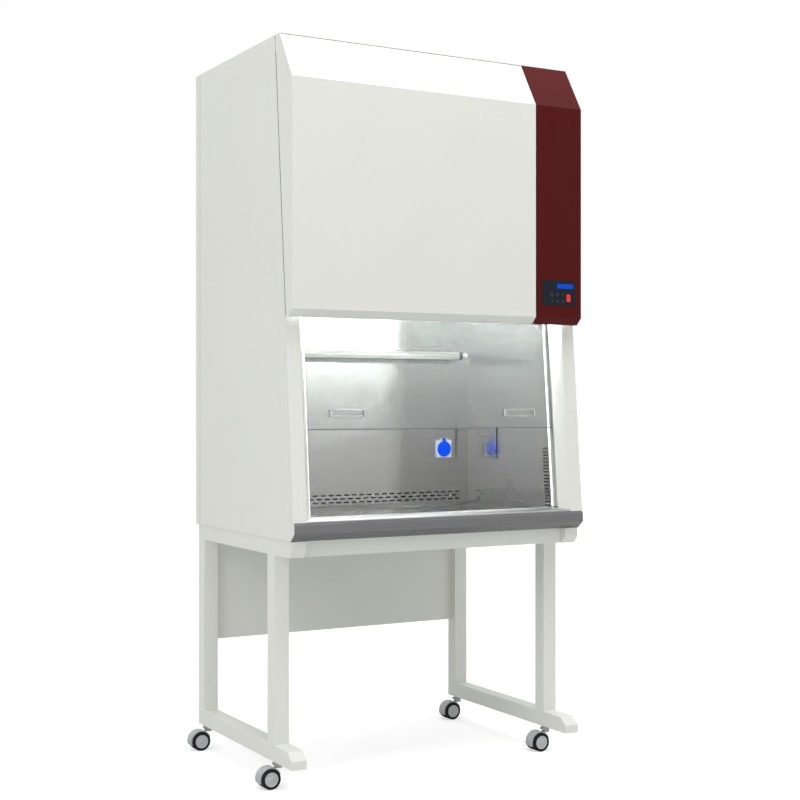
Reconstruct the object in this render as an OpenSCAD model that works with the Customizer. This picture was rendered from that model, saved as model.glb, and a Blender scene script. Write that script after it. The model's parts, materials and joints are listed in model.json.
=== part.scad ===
// Class II biosafety cabinet on a tube stand with swivel casters, in millimetres.
// The modules draw in cabinet coordinates: x from the middle of the cabinet, y from the front
// of the hood to the rear, z from the underside of the cabinet. placed() moves them to the
// part's own origin, on the floor under the middle of the whole assembly.

/* [Cabinet] */
// Width over the side panels
cab_w = 1050; // [900:10:1250]
// Height of the cabinet without its stand
cab_h = 1524; // [1500:2:1600]
// Depth from the front of the hood to the rear panel
cab_d = 772; // [760:2:860]
// Lean of the front plane from upright, in degrees
front_lean = 5.1; // [4.5:0.1:5.6]
// How far the foot of the front plane stands ahead of the hood
foot_out = 12.6; // [10:0.2:16]
// Thickness of the painted sheet
sheet = 1.5; // [1:0.1:2]
// Thickness of the stainless sheet
steel = 1.5; // [1:0.1:2]
// Width of the flanges that stiffen the painted panels
flange = 16; // [10:1:22]
// Width of the rear panel's wrap round each side
rear_wrap = 36; // [25:1:50]
// Open seam between the hood and the side
seam = 4; // [2:0.1:4.5]
// Open joint between a side panel and the rear panel
rear_joint = 2.2; // [0.4:0.1:4]

/* [Hood and console] */
// Height of the hood's lower edge above the cabinet's underside
hood_z = 669; // [650:1:690]
// Width and height of the bevel along the hood's lower edge
hood_lip = 22; // [14:1:28]
// Height of the sloped top of the hood
hood_slope_h = 145; // [100:1:180]
// Depth of the sloped top of the hood
hood_slope_d = 88; // [60:1:96]
// Width of the dark console beside the hood
console_w = 178; // [160:1:220]
// Diameter of the hood's hinge pins
hood_pin_d = 8; // [5:0.5:9]
// Width of the hinge lug on the hood
hood_lug_w = 20; // [12:1:30]

/* [Control panel] */
// Width of the control panel
panel_w = 132; // [120:1:150]
// Height of the control panel
panel_h = 84; // [76:1:100]
// Height of the panel's middle above the cabinet's underside
panel_z = 771; // [760:1:820]
// Thickness of the control panel
panel_t = 1; // [0.8:0.1:1.6]
// Width of the display window
lcd_w = 64; // [50:1:70]
// Height of the display window
lcd_h = 15; // [10:0.5:20]
// Width of a key
key_w = 12; // [8:0.5:14]
// Height of a key
key_h = 9; // [6:0.5:12]
// Distance between neighbouring keys
key_pitch = 22; // [18:0.5:24]
// Width of the power switch
switch_w = 18; // [12:0.5:20]
// Height of the power switch
switch_h = 26; // [18:0.5:30]
// How far the keys stand proud of the panel
key_proud = 1.2; // [1:0.1:2]

/* [Front posts and sash] */
// Width of a front post's face
post_face = 46; // [40:1:52]
// Depth of a front post's wrap round the side
post_wrap = 58; // [45:1:70]
// Distance from the outside of the cabinet to the chamber
wall_in = 75; // [72:0.5:84]
// Depth of the sash track behind the front plane
track_s = 36; // [30:0.5:44]
// Thickness of the sash glass
glass_t = 6; // [5:0.5:8]
// Running gap on each face of the glass in its track
track_gap = 1.5; // [1:0.5:4]
// Depth of the white jamb behind the sash track
jamb_w = 18; // [12:1:30]
// Height of the sash glass
glass_h = 680; // [640:5:700]
// Height of the sash's lower edge above the cabinet's underside
sash_z = 330; // [280:5:380]
// Length of a sash handle
handle_l = 120; // [80:1:160]
// Height of a sash handle
handle_h = 23; // [18:1:34]
// How far a sash handle stands out of the glass
handle_d = 12; // [8:0.5:16]
// Distance between the middles of the two handles
handle_pitch = 630; // [400:10:640]
// Height of the handles above the sash's lower edge
handle_up = 50; // [36:1:80]
// Working radius of the counterbalance pulleys
pulley_r = 60; // [50:1:62]
// Diameter of the sash cable
cable_d = 3; // [2:0.5:4]
// Diameter of the pulley shaft
shaft_d = 12; // [10:0.5:16]
// Length of a counterweight
weight_l = 348; // [300:2:380]

/* [Chamber] */
// Height of the work surface above the cabinet's underside
work_z = 64; // [60:1:80]
// Depth of the dish in the work surface
dish = 3; // [1:0.5:5]
// Distance from the front of the hood to the chamber's back wall
back_y = 583; // [560:1:640]
// Height of the chamber's ceiling above the cabinet's underside
ceiling_z = 735; // [720:1:760]
// Width of the front grille
grille_d = 37; // [30:1:50]
// Length of an air slot in the back wall
slot_l = 20; // [14:1:26]
// Height of an air slot
slot_h = 4.5; // [3:0.25:6]
// Distance between neighbouring air slots
slot_pitch = 30; // [28:0.5:40]
// Number of slots in the column on each side wall
side_slots = 18; // [6:1:20]
// Distance between the slots of a side wall
side_slot_pitch = 11; // [9:0.5:13]
// Length of a slot in a side wall
side_slot_l = 34; // [20:1:40]
// Diameter of the ultraviolet lamp
uv_d = 28; // [16:1:38]
// Length of the ultraviolet lamp between its caps
uv_l = 766; // [600:2:780]
// Height of the ultraviolet lamp above the cabinet's underside
uv_z = 580; // [540:2:600]
// Side of the square socket frame
socket_w = 63; // [60:1:80]
// Distance of the socket from the chamber's middle
socket_x = 343; // [200:1:350]
// Height of the socket's middle above the cabinet's underside
socket_z = 248; // [200:1:300]

/* [Fan and filters] */
// Thickness of the supply filter
supply_h = 70; // [50:5:90]
// Thickness of the exhaust filter
exhaust_h = 110; // [70:5:120]
// Width of the exhaust filter
exhaust_w = 500; // [400:10:600]
// Depth of the exhaust filter
exhaust_d = 300; // [240:10:300]
// Distance between neighbouring filter pleats
pleat = 14; // [10:1:30]
// Outer radius of the fan impeller
fan_r = 148; // [120:1:160]
// Number of fan blades
fan_blades = 11; // [7:1:13]
// Thickness of a fan blade
blade_t = 2; // [1.5:0.5:3]
// Depth of the fan blades
blade_d = 80; // [60:1:85]
// Diameter of the fan motor
motor_d = 118; // [90:1:130]
// Length of the fan motor
motor_l = 54; // [40:1:60]

/* [Stand and casters] */
// Height of the stand with its casters
stand_h = 761; // [700:1:900]
// Side of the square stand tube
tube = 50; // [40:1:55]
// Wall of the stand tube
tube_wall = 2.5; // [2:0.5:3]
// Step of the stand in from the cabinet's sides
stand_in = 4; // [0:1:10]
// Distance from the hood front to the stand's front posts
front_post_y = 137; // [110:1:160]
// Step of the stand in from the cabinet's rear
stand_rear_in = 15; // [10:1:30]
// Height of the modesty panel
modesty_h = 392; // [250:2:500]
// Diameter of a caster wheel
wheel_d = 62; // [60:1:65]
// Height of a caster
caster_h = 84; // [84:1:100]
// Distance of a wheel's axle behind the caster's stem
trail = 33; // [32:1:38]
// Width over a pair of caster wheels
caster_w = 54; // [50:1:58]
// How far each wheel stands out of the caster's hood
tread_show = 8; // [4:1:10]
// Diameter of a caster's stem
stem_d = 12; // [9:0.5:12]

/* [Hidden] */
$fn = 48;

paint = [0.86, 0.87, 0.83];
maroon = [0.33, 0.09, 0.09];
stainless = [0.62, 0.62, 0.61];
dark = [0.08, 0.08, 0.09];
zinc = [0.70, 0.71, 0.72];

half_w = cab_w / 2;
rear_y = cab_d - rear_wrap;      // rear edge of the side panels
line_gap = 0.4;                  // fine joint line between two fixed panels
seat_gap = 0.3;                  // gap at which one piece lies on another
run_gap = 0.05;                  // radial clearance of a shaft in its hole
bend = 6;                        // radius of the armrest's bends
bend_chords = 4;                 // chords of each bend
stand_rear_y = cab_d - stand_rear_in;
pan_y = 18;                      // front of the base pan
pan_top = work_z - 8;            // rim of the base pan

// Sheets folded from a line: the line itself, and the line set off by the sheet's thickness.
function seg_n(a, b) = let (d = (b - a) / norm(b - a)) [-d[1], d[0]];
function mitre(p, i) = let (n = len(p), n1 = seg_n(p[max(i - 1, 0)], p[max(i, 1)]),
    n2 = seg_n(p[min(i, n - 2)], p[min(i + 1, n - 1)])) (n1 + n2) / (1 + n1 * n2);
function folded(p, t) = concat(p, [for (i = [len(p) - 1:-1:0]) p[i] + t * mitre(p, i)]);

// A line with each inner corner turned into an arc of radius r, in a few chords.
function unit(v) = v / norm(v);
function corner_arc(a, b, c, r, n = bend_chords) = let (u = unit(a - b), v = unit(c - b),
    half = acos(u * v) / 2, m = b + unit(u + v) * r / sin(half), s = b + u * r / tan(half) - m,
    turn = (u[0] * v[1] - u[1] * v[0] > 0 ? 1 : -1) * (180 - 2 * half))
    [for (i = [0:n]) let (q = -turn * i / n)
        m + [s[0] * cos(q) - s[1] * sin(q), s[0] * sin(q) + s[1] * cos(q)]];
function rounded(p, r) = concat([p[0]],
    [for (i = [1:len(p) - 2]) each corner_arc(p[i - 1], p[i], p[i + 1], r)], [p[len(p) - 1]]);

// The front plane: its y at a height, and the distance up the slope at a height.
function front_y(z) = -foot_out + z * tan(front_lean);
function slope_t(z, s = 0) = (z + s * sin(front_lean)) / cos(front_lean);

module placed() translate([-mid_x, -mid_y, stand_h]) children();
module on_front() translate([0, -foot_out, 0]) rotate([-front_lean, 0, 0]) children();
module side_view(w) rotate([90, 0, 90]) linear_extrude(w, center = true) children();
module side_view_from(x, w) translate([x, 0, 0]) rotate([90, 0, 90]) linear_extrude(w) children();
module front_view(y, d) translate([0, y, 0]) rotate([90, 0, 0])
    translate([0, 0, -d]) linear_extrude(d) children();
module pad(x0, x1, y0, y1, z0, z1) translate([x0, y0, z0]) cube([x1 - x0, y1 - y0, z1 - z0]);

// A flat slot with round ends, and a rectangle with round corners.
module slot(l, w) {
    square([l - w, w], center = true);
    for (s = [-1, 1]) translate([s * (l - w) / 2, 0]) circle(d = w, $fn = 20);
}
module key_outline(w, h, r = 1.5, grow = 0) {
    square([w - 2 * r, h + 2 * grow], center = true);
    square([w + 2 * grow, h - 2 * r], center = true);
    for (a = [-1, 1], b = [-1, 1]) translate([a * (w / 2 - r), b * (h / 2 - r)])
        circle(r = r + grow, $fn = 24);
}

// The whole assembly's middle: the casters trail past the left side, the armrest past the hood.
stem_x = half_w - stand_in - tube / 2;
hood_over = 4.5;                 // from a wheel's tread to the outside of its hood
fork_r = wheel_d / 2 + hood_over;
nose_y = -foot_out;
mid_x = (half_w - (stem_x + trail + fork_r)) / 2;
mid_y = (cab_d + nose_y) / 2;

// Section of the armrest, from its rear flange over the top and the round nose to its foot.
arm_rear_y = 52.5;
arm_top_z = work_z + 5.3;
arm_brow = [-3.8, work_z - 2.3];
arm_face = [work_z - 15, 23];    // top and bottom of the upright face
arm_foot_y = 14;
arm_line = rounded([[arm_rear_y, pan_top + seat_gap], [arm_rear_y, arm_top_z], arm_brow,
    [nose_y, arm_face[0]], [nose_y, arm_face[1]], [arm_foot_y, seat_gap]], bend);
grille_y = arm_rear_y + seat_gap;
work_y = grille_y + grille_d + seat_gap;

// Outline of the side of the cabinet in front of the side panels: the post's wrap, with the
// armrest's nose at its foot and a corner cut off its top, where the hood swings through.
wrap_s = post_wrap / cos(front_lean);
module wrap_outline() {
    polygon([[front_y(work_z), work_z], [front_y(post_top), post_top],
        [front_y(post_top) + hinge_cut, cab_h], [front_y(cab_h) + wrap_s, cab_h],
        [front_y(0) + wrap_s, 0], [arm_foot_y, 0], [arm_foot_y, work_z]]);
    polygon(concat([for (i = [bend_chords + 2:len(arm_line) - 1]) arm_line[i]],
        [[pan_y, seat_gap], [pan_y, work_z]]));
}

module side_panel() {
    y0 = front_y(0) + wrap_s + line_gap;
    y1 = front_y(cab_h) + wrap_s + line_gap;
    y2 = rear_y - rear_joint;
    side_view_from(-half_w, sheet) polygon([[y0, 0], [y1, cab_h], [y2, cab_h], [y2, 0]]);
    pad(-half_w, -half_w + flange, y0, y2, 0, sheet);
    pad(-half_w, -half_w + flange, y1, y2, cab_h - 2 * sheet, cab_h - sheet);
    pad(-half_w, -half_w + flange, y2 - sheet, y2, pan_top + seat_gap, cab_h - sheet);
}
module left_side_panel() color(paint) placed() side_panel();
module right_side_panel() color(paint) placed() mirror([1, 0, 0]) side_panel();

inlet_w = 28;
inlet_h = 48;
inlet_x = half_w - 130;
inlet_z = cab_h - 130;
module rear_panel() color(paint) placed() difference() {
    linear_extrude(cab_h - sheet) polygon(folded([[-half_w, rear_y], [-half_w, cab_d],
        [half_w, cab_d], [half_w, rear_y]], -sheet));
    pad(inlet_x - inlet_w / 2, inlet_x + inlet_w / 2, cab_d - 2 * sheet, cab_d + 1,
        inlet_z - inlet_h / 2, inlet_z + inlet_h / 2);
}

// The hood turns on pins that the top panel's front edge carries.
hinge_y = front_y(cab_h) - seam - 4.8;
hinge_z = cab_h - 8;
post_top = hinge_z - 8;
hinge_cut = 9;
header_y = hinge_y + 12;
header_h = 62;
ear_t = 4;
lug_r = hood_pin_d / 2 + 2;
hinge_xs = [-half_w + 70, half_w - console_w - 70];
module hinge_ear() {
    translate([hinge_y, hinge_z]) circle(r = lug_r);
    polygon([[hinge_y, hinge_z - lug_r], [hinge_y + lug_r * 0.7, hinge_z + lug_r * 0.2],
        [header_y, hinge_z - 8], [header_y, hinge_z - 26]]);
}
exhaust_y = back_y - 13 - exhaust_d;
vent_l = 44;
vent_h = 8;
vent_pitch_x = 54;
vent_pitch_y = 18;
module top_panel() color(paint) placed() {
    difference() {
        pad(-half_w + sheet, half_w - sheet, header_y, cab_d, cab_h - sheet, cab_h);
        translate([0, exhaust_y + exhaust_d / 2, cab_h - 2 * sheet]) linear_extrude(3 * sheet)
            for (i = [0:floor((exhaust_w - 70) / vent_pitch_x) - 1],
                 j = [0:floor((exhaust_d - 50) / vent_pitch_y) - 1])
                translate([(i - (floor((exhaust_w - 70) / vent_pitch_x) - 1) / 2) * vent_pitch_x,
                    (j - (floor((exhaust_d - 50) / vent_pitch_y) - 1) / 2) * vent_pitch_y])
                    slot(vent_l, vent_h);
    }
    pad(-half_w + wall_in, half_w - wall_in, header_y, header_y + sheet, cab_h - header_h,
        cab_h - sheet);
    for (x = hinge_xs) {
        for (s = [-1, 1]) translate([x + s * (hood_lug_w / 2 + ear_t / 2 + 0.5), 0, 0])
            side_view(ear_t) hinge_ear();
        translate([x, hinge_y, hinge_z]) rotate([0, 90, 0])
            cylinder(d = hood_pin_d, h = hood_lug_w + 2 * ear_t + 1, center = true);
    }
}

support_ys = [work_y + 50, back_y - 60];
module base_pan() color(zinc) placed() {
    difference() {
        pad(-half_w + sheet, half_w - sheet, pan_y, cab_d - sheet, sheet, pan_top);
        pad(-half_w + 2 * sheet, half_w - 2 * sheet, pan_y + sheet, cab_d - 2 * sheet,
            2 * sheet, pan_top + 1);
    }
    for (y = support_ys) pad(-half_w + wall_in + 8, half_w - wall_in - 8, y, y + 2 * sheet,
        2 * sheet - 0.2, work_z - dish - steel);
}

// A front post is one folded sheet: wrap, face and the slanting reveal up to the sash track.
reveal_x = wall_in - 3;
module front_post() {
    side_view_from(-half_w, sheet) wrap_outline();
    intersection() {
        on_front() translate([-half_w, 0, -40]) linear_extrude(cab_h + 200)
            polygon(folded([[0, 0], [post_face, 0], [reveal_x, track_s - 1]], sheet));
        side_view_from(-half_w, wall_in) difference() {
            polygon([[-100, work_z - 12], [cab_d, work_z - 12], [cab_d, post_top],
                [-100, post_top]]);
            polygon(concat([[arm_rear_y + 1, -10]], [for (q = arm_line) q + [0, seat_gap]],
                [[nose_y - 60, seat_gap], [nose_y - 60, -10]]));
        }
    }
}
module left_front_post() color(paint) placed() front_post();
module right_front_post() color(paint) placed() mirror([1, 0, 0]) front_post();

// The sash runs in two channels; its glass stands in the middle of the groove. Each channel's
// rear leg carries the jamb that meets the chamber's side wall.
groove = glass_t + 2 * track_gap;
track_leg = 2;
glass_s = track_s + track_leg + track_gap;
track_end = track_s + 2 * track_leg + groove;
glass_in = wall_in - 19;
plenum_z1 = cab_h - sheet - exhaust_h;
jamb_end = track_end + jamb_w;
module guide() on_front() {
    difference() {
        pad(-half_w + glass_in - 2 * track_leg, -half_w + wall_in - 1, track_s, track_end,
            slope_t(arm_top_z + 1, track_end), guide_top);
        pad(-half_w + glass_in - track_leg, -half_w + wall_in, track_s + track_leg,
            track_end - track_leg, 0, cab_h + 200);
    }
    pad(-half_w + wall_in - sheet, -half_w + wall_in, track_end - track_leg, jamb_end,
        slope_t(arm_top_z + 1, jamb_end), guide_top);
}
module sash_guides() color(paint) placed() {
    guide();
    mirror([1, 0, 0]) guide();
}

// The hood's and the console's common section, seen from the side.
hood_line = [[front_y(hood_z) - seam, hood_z], [hood_lip, hood_z], [0, hood_z + hood_lip],
    [0, cab_h - hood_slope_h], [hood_slope_d, cab_h], [front_y(cab_h) - seam, cab_h]];
hood_return = 13;
module hood_shell(x0, x1) {
    side_view_from(x0, x1 - x0) polygon(folded(hood_line, -sheet));
    for (x = [x0, x1 - sheet]) side_view_from(x, sheet) polygon(folded(hood_line, -hood_return));
}
module cheek(x) side_view_from(x, sheet) polygon(hood_line);

module hood_cover() color(paint) placed() {
    x1 = half_w - console_w - seam / 2;
    difference() {
        union() {
            hood_shell(-half_w, x1);
            cheek(-half_w);
            for (x = hinge_xs) {
                pad(x - hood_lug_w / 2, x + hood_lug_w / 2, hinge_y - lug_r, hinge_y + 3,
                    hinge_z, cab_h - sheet);
                translate([x, hinge_y, hinge_z]) rotate([0, 90, 0])
                    cylinder(r = lug_r, h = hood_lug_w, center = true);
            }
        }
        for (x = hinge_xs) translate([x, hinge_y, hinge_z]) rotate([0, 90, 0])
            cylinder(d = hood_pin_d + 2 * run_gap, h = hood_lug_w + 1, center = true);
    }
}

// The console has the hood's section, holes for the keys, and tabs that reach the post.
console_x = half_w - console_w / 2;
key_spots = [for (r = [0, 1], c = [0, 1, 2]) [console_x - 29 + c * key_pitch, panel_z - 4 - r * 23]];
switch_spot = [console_x + 37, panel_z - 15.5];
lcd_spot = [console_x + 24, panel_z + 22.5];
module key_holes() {
    for (k = key_spots) translate(k) key_outline(key_w, key_h, grow = seat_gap);
    translate(switch_spot) key_outline(switch_w, switch_h, grow = seat_gap);
}
tab_w = 1.25 * flange;
tab_h = 2 * tab_w;
module console_cover() color(maroon) placed() {
    x0 = half_w - console_w + seam / 2;
    difference() {
        union() {
            hood_shell(x0, half_w);
            cheek(half_w - sheet);
        }
        front_view(-1, sheet + 2) key_holes();
    }
    for (z = [hood_z + 100, (hood_z + cab_h) / 2, cab_h - hood_slope_h - tab_h])
        side_view_from(half_w - sheet - tab_w, tab_w + sheet / 2)
            polygon([[0, z], [front_y(z) - seat_gap, z], [front_y(z + tab_h) - seat_gap, z + tab_h],
                [0, z + tab_h]]);
}
module control_panel() color(dark) placed() front_view(-panel_t, panel_t) difference() {
    translate([console_x, panel_z]) key_outline(panel_w, panel_h, r = 3);
    key_holes();
    translate(lcd_spot) square([lcd_w, lcd_h], center = true);
}
module lcd_window() color([0, 0.35, 0.9]) placed() front_view(-panel_t - 0.3, panel_t + 0.3)
    translate(lcd_spot) square([lcd_w - 0.4, lcd_h - 0.4], center = true);
module key(i) color([0.75, 0.76, 0.78]) placed() front_view(-panel_t - key_proud, panel_t + key_proud + 1)
    translate(key_spots[i]) key_outline(key_w, key_h);
module power_switch() color([0.9, 0.1, 0.12]) placed()
    front_view(-panel_t - 1.4 * key_proud, panel_t + 1.4 * key_proud + 1)
        translate(switch_spot) key_outline(switch_w, switch_h);

// The work lamp is a batten with its tube, hung on the front posts behind the hood.
lamp_z = hood_z + 46;
lamp_h = 46;
lamp_d = 34;
lamp_tube_d = 26;
lamp_end = post_face + 8;        // inner end of each end block
module work_lamp() color("white") placed() on_front() {
    difference() {
        pad(-half_w + post_face / 2, half_w - post_face / 2, -lamp_d, -seat_gap,
            slope_t(lamp_z), slope_t(lamp_z) + lamp_h);
        pad(-half_w + lamp_end, half_w - lamp_end, -lamp_d + sheet, -seat_gap - sheet,
            slope_t(lamp_z) - 1, slope_t(lamp_z) + lamp_h - sheet);
    }
    translate([0, -lamp_d / 2, slope_t(lamp_z) + lamp_tube_d / 2]) rotate([0, 90, 0])
        cylinder(d = lamp_tube_d, h = cab_w - 2 * lamp_end + 2, center = true);
}

module armrest() color(stainless) placed() side_view(cab_w - 2 * sheet - 2 * seat_gap)
    polygon(folded(arm_line, steel));

module front_grille() color(stainless) placed() {
    w = half_w - wall_in - seat_gap;
    n = floor(2 * (w - 12) / slot_pitch);
    difference() {
        pad(-w, w, grille_y, grille_y + grille_d, work_z - 20, work_z);
        pad(-w - 1, w + 1, grille_y + steel, grille_y + grille_d - steel, work_z - 21, work_z - steel);
        for (j = [-1, 0, 1], i = [0:n - 1 - abs(j + 1) % 2])
            translate([(i - (n - 1 - abs(j + 1) % 2) / 2) * slot_pitch,
                grille_y + grille_d / 2 + j * grille_d / 4, work_z - 2 * steel])
                linear_extrude(3 * steel) slot(slot_l, slot_h);
    }
}

dish_in = 20;
module work_surface() color(stainless) placed() {
    w = half_w - wall_in - seat_gap;
    y1 = back_y - seat_gap;
    difference() {
        pad(-w, w, work_y, y1, work_z - 24, work_z);
        pad(-w + dish_in, w - dish_in, work_y + dish_in, y1 - dish_in, work_z - dish, work_z + 1);
        pad(-w + steel, w - steel, work_y + steel, y1 - steel, work_z - 25, work_z - dish - steel);
        for (s = [-1, 1]) translate([s * (w - dish_in / 2 - 1), work_y + dish_in / 2 + 1, work_z - 25])
            cylinder(d = 14, h = 30);
    }
}

// A side wall starts behind the armrest and the jamb; its slots follow the jamb's slope.
function wall_y(z) = front_y(z) + (jamb_end + line_gap) / cos(front_lean);
slot_in = 3;                     // from the wall's front edge to its slots
slot_up = 8;                     // from the work surface to the lowest slot
module inner_wall() side_view_from(-half_w + wall_in - steel, steel) difference() {
    polygon([[arm_rear_y + seat_gap, 2 * sheet], [arm_rear_y + seat_gap, arm_top_z],
        [wall_y(arm_top_z), arm_top_z], [wall_y(plenum_z1), plenum_z1],
        [back_y + steel, plenum_z1], [back_y + steel, 2 * sheet]]);
    for (i = [0:side_slots - 1]) let (z = work_z + slot_up + i * side_slot_pitch)
        translate([wall_y(z) + slot_in + side_slot_l / 2, z]) slot(side_slot_l, slot_h);
}
module left_inner_wall() color(stainless) placed() inner_wall();
module right_inner_wall() color(stainless) placed() mirror([1, 0, 0]) inner_wall();

inner_w = half_w - wall_in;
filter_z = ceiling_z + 22;
slot_rows = 3;
module back_wall() color(stainless) placed() front_view(back_y, steel) difference() {
    translate([-inner_w, work_z - 20]) square([2 * inner_w, filter_z - work_z + 20]);
    for (j = [0:slot_rows - 1]) let (n = floor(2 * (inner_w - 20) / slot_pitch) - j % 2)
        for (i = [0:n - 1]) translate([(i - (n - 1) / 2) * slot_pitch,
            work_z + 4 + j * (2 * slot_h + 3.5)]) slot(slot_l, slot_h);
}

deck_y = front_y(filter_z) + (track_end + 5) / cos(front_lean);
module ceiling_diffuser() color(stainless) placed() {
    w = inner_w - seat_gap;
    y1 = back_y - seat_gap;
    nx = floor((2 * w - 60) / 60);
    ny = floor((y1 - deck_y - 60) / 36);
    difference() {
        pad(-w, w, deck_y, y1, ceiling_z, filter_z);
        pad(-w + steel, w - steel, deck_y + steel, y1 - steel, ceiling_z + steel, filter_z + 1);
        translate([0, (deck_y + y1) / 2, ceiling_z - 1]) linear_extrude(steel + 2)
            for (i = [0:nx - 1], j = [0:ny - 1])
                translate([(i - (nx - 1) / 2) * 60, (j - (ny - 1) / 2) * 36]) slot(46, 14);
    }
}

// A square cover over the services' opening, on a gasket that stands back from its edge.
plate_t = 4;
plate_w = 112;
plate_mid = [447, 274];
gasket_t = 1.5;
gasket_in = 4;
module service_plate() color(stainless) placed() {
    side_view_from(inner_w - plate_t, plate_t - gasket_t) translate(plate_mid)
        key_outline(plate_w, plate_w, r = 2);
    side_view_from(inner_w - gasket_t, gasket_t) translate(plate_mid)
        square(plate_w - 2 * gasket_in, center = true);
}

cap_l = uv_d * 5 / 8;
holder_l = uv_d * 4 / 7;
uv_y = back_y - 42;
module uv_lamp_tube() color([0.9, 0.95, 0.95]) placed() translate([0, uv_y, uv_z]) rotate([0, 90, 0])
    cylinder(d = uv_d, h = uv_l, center = true);
module uv_lamp_holders() color(zinc) placed() for (s = [-1, 1]) {
    translate([s * (uv_l / 2 + cap_l / 2), uv_y, uv_z]) rotate([0, 90, 0])
        cylinder(d = uv_d + 2, h = cap_l, center = true);
    translate([s * (uv_l / 2 + cap_l + holder_l / 2), 0, 0]) {
        pad(-holder_l / 2, holder_l / 2, uv_y, back_y, uv_z - uv_d / 2 + 3, uv_z + uv_d / 2 - 3);
        translate([0, uv_y, uv_z]) rotate([0, 90, 0])
            cylinder(d = uv_d - 6, h = holder_l, center = true);
    }
}

// The socket's flap hangs on a pin between two ears at the top of the frame.
frame_d = 8;
flap_r = socket_w / 2 - 4;
flap_t = 3;
flap_pin_z = socket_z + socket_w / 2 + 3.2;
flap_y = back_y - frame_d - flap_t / 2 - seat_gap;
module socket_frame() color([0.9, 0.92, 0.95]) placed() {
    difference() {
        front_view(back_y - frame_d, frame_d) translate([socket_x, socket_z])
            key_outline(socket_w, socket_w, r = 4);
        translate([socket_x, back_y - frame_d, socket_z]) rotate([90, 0, 0])
            cylinder(r = flap_r - 4, h = 6, center = true);
    }
    for (s = [-1, 1]) translate([socket_x + s * 9.5, 0, 0]) side_view(5) {
        translate([flap_y, flap_pin_z]) circle(r = 3);
        polygon([[flap_y, flap_pin_z + 3], [back_y, flap_pin_z + 3], [back_y, flap_pin_z - 7],
            [back_y - frame_d, flap_pin_z - 7], [flap_y, flap_pin_z - 3]]);
    }
    translate([socket_x, flap_y, flap_pin_z]) rotate([0, 90, 0])
        cylinder(d = 2.4, h = 20, center = true);
}
module socket_flap() color([0.02, 0.22, 0.95]) placed() difference() {
    union() {
        front_view(flap_y - flap_t / 2, flap_t) translate([socket_x, 0]) {
            translate([0, socket_z - 1]) circle(r = flap_r);
            translate([-6, socket_z]) square([12, flap_pin_z - socket_z]);
        }
        translate([socket_x, flap_y, flap_pin_z]) rotate([0, 90, 0]) cylinder(r = 2.8, h = 12, center = true);
    }
    translate([socket_x, flap_y, flap_pin_z]) rotate([0, 90, 0])
        cylinder(d = 2.4 + 2 * run_gap, h = 14, center = true);
}

sash_t0 = slope_t(sash_z, glass_s);
sash_t1 = sash_t0 + glass_h;
module sash_glass() color([0.7, 0.8, 0.8, 0.3]) placed() on_front()
    pad(-half_w + glass_in, half_w - glass_in, glass_s, glass_s + glass_t, sash_t0, sash_t1);

// A finger pull: an open frame on the glass with a thicker left end.
pocket_wall = 3;
pocket_end = 8;
module sash_handles() color([0.55, 0.56, 0.56]) placed() on_front() for (s = [-1, 1])
    translate([s * handle_pitch / 2 - handle_l / 2, glass_s - handle_d, sash_t0 + handle_up - handle_h / 2])
        difference() {
            cube([handle_l, handle_d, handle_h]);
            translate([pocket_end, -1, pocket_wall])
                cube([handle_l - pocket_end - pocket_wall, handle_d + 2, handle_h - 2 * pocket_wall]);
        }

lug_h = 25;
clamp_h = 18;
clamp_t = 3;
module sash_carrier() color(zinc) placed() on_front() {
    w = half_w - wall_in - 3;
    difference() {
        pad(-w, w, glass_s - clamp_t, glass_s + glass_t + clamp_t, sash_t1 - clamp_h, sash_t1 + 4);
        pad(-w - 1, w + 1, glass_s - run_gap, glass_s + glass_t + run_gap, sash_t1 - clamp_h - 1,
            sash_t1 + run_gap);
    }
    for (s = [0, 1]) mirror([s, 0, 0])
        pad(w - 14, half_w - glass_in, glass_s, glass_s + glass_t, sash_t1 + run_gap, sash_t1 + lug_h);
}

// Each cable rises from the sash, goes over its pulley and drops to a counterweight.
cable_x = half_w - glass_in - 4.5;
cable_s = glass_s + glass_t / 2;
pulley_s = cable_s + pulley_r;
pulley_z = cab_h - pulley_r - 24;
pulley_t = slope_t(pulley_z, pulley_s);
pulley_y = -foot_out + pulley_s * cos(front_lean) + pulley_t * sin(front_lean);
flange_r = pulley_r + 4;
guide_top = pulley_t - sqrt(pow(flange_r, 2) - pow(pulley_s - track_end, 2)) - 2;
weight_y = pulley_y + pulley_r;
weight_top = 1110;
eye_h = 10;
module sash_cables() color([0.4, 0.4, 0.42]) placed() for (s = [-1, 1]) {
    on_front() translate([s * cable_x, cable_s, sash_t1 + lug_h])
        cylinder(d = cable_d, h = pulley_t - sash_t1 - lug_h - seat_gap, $fn = 16);
    translate([s * cable_x, pulley_y, pulley_z]) rotate([90, 0, 90])
        rotate_extrude(angle = 180 - front_lean) translate([pulley_r, 0]) circle(d = cable_d, $fn = 16);
}
module counterweight_cables() color([0.4, 0.4, 0.42]) placed() for (s = [-1, 1])
    translate([s * cable_x, weight_y, weight_top + eye_h])
        cylinder(d = cable_d, h = pulley_z - weight_top - eye_h, $fn = 16);
weight_w = 23;
weight_d = 80;
module counterweights() color([0.35, 0.36, 0.38]) placed() for (s = [-1, 1])
    translate([s * cable_x, weight_y, 0]) {
        pad(-weight_w / 2, weight_w / 2, -weight_d / 2, weight_d / 2, weight_top - weight_l, weight_top);
        translate([0, 0, weight_top]) cylinder(r = 5, h = eye_h);
    }
pulley_w = 12;
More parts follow.
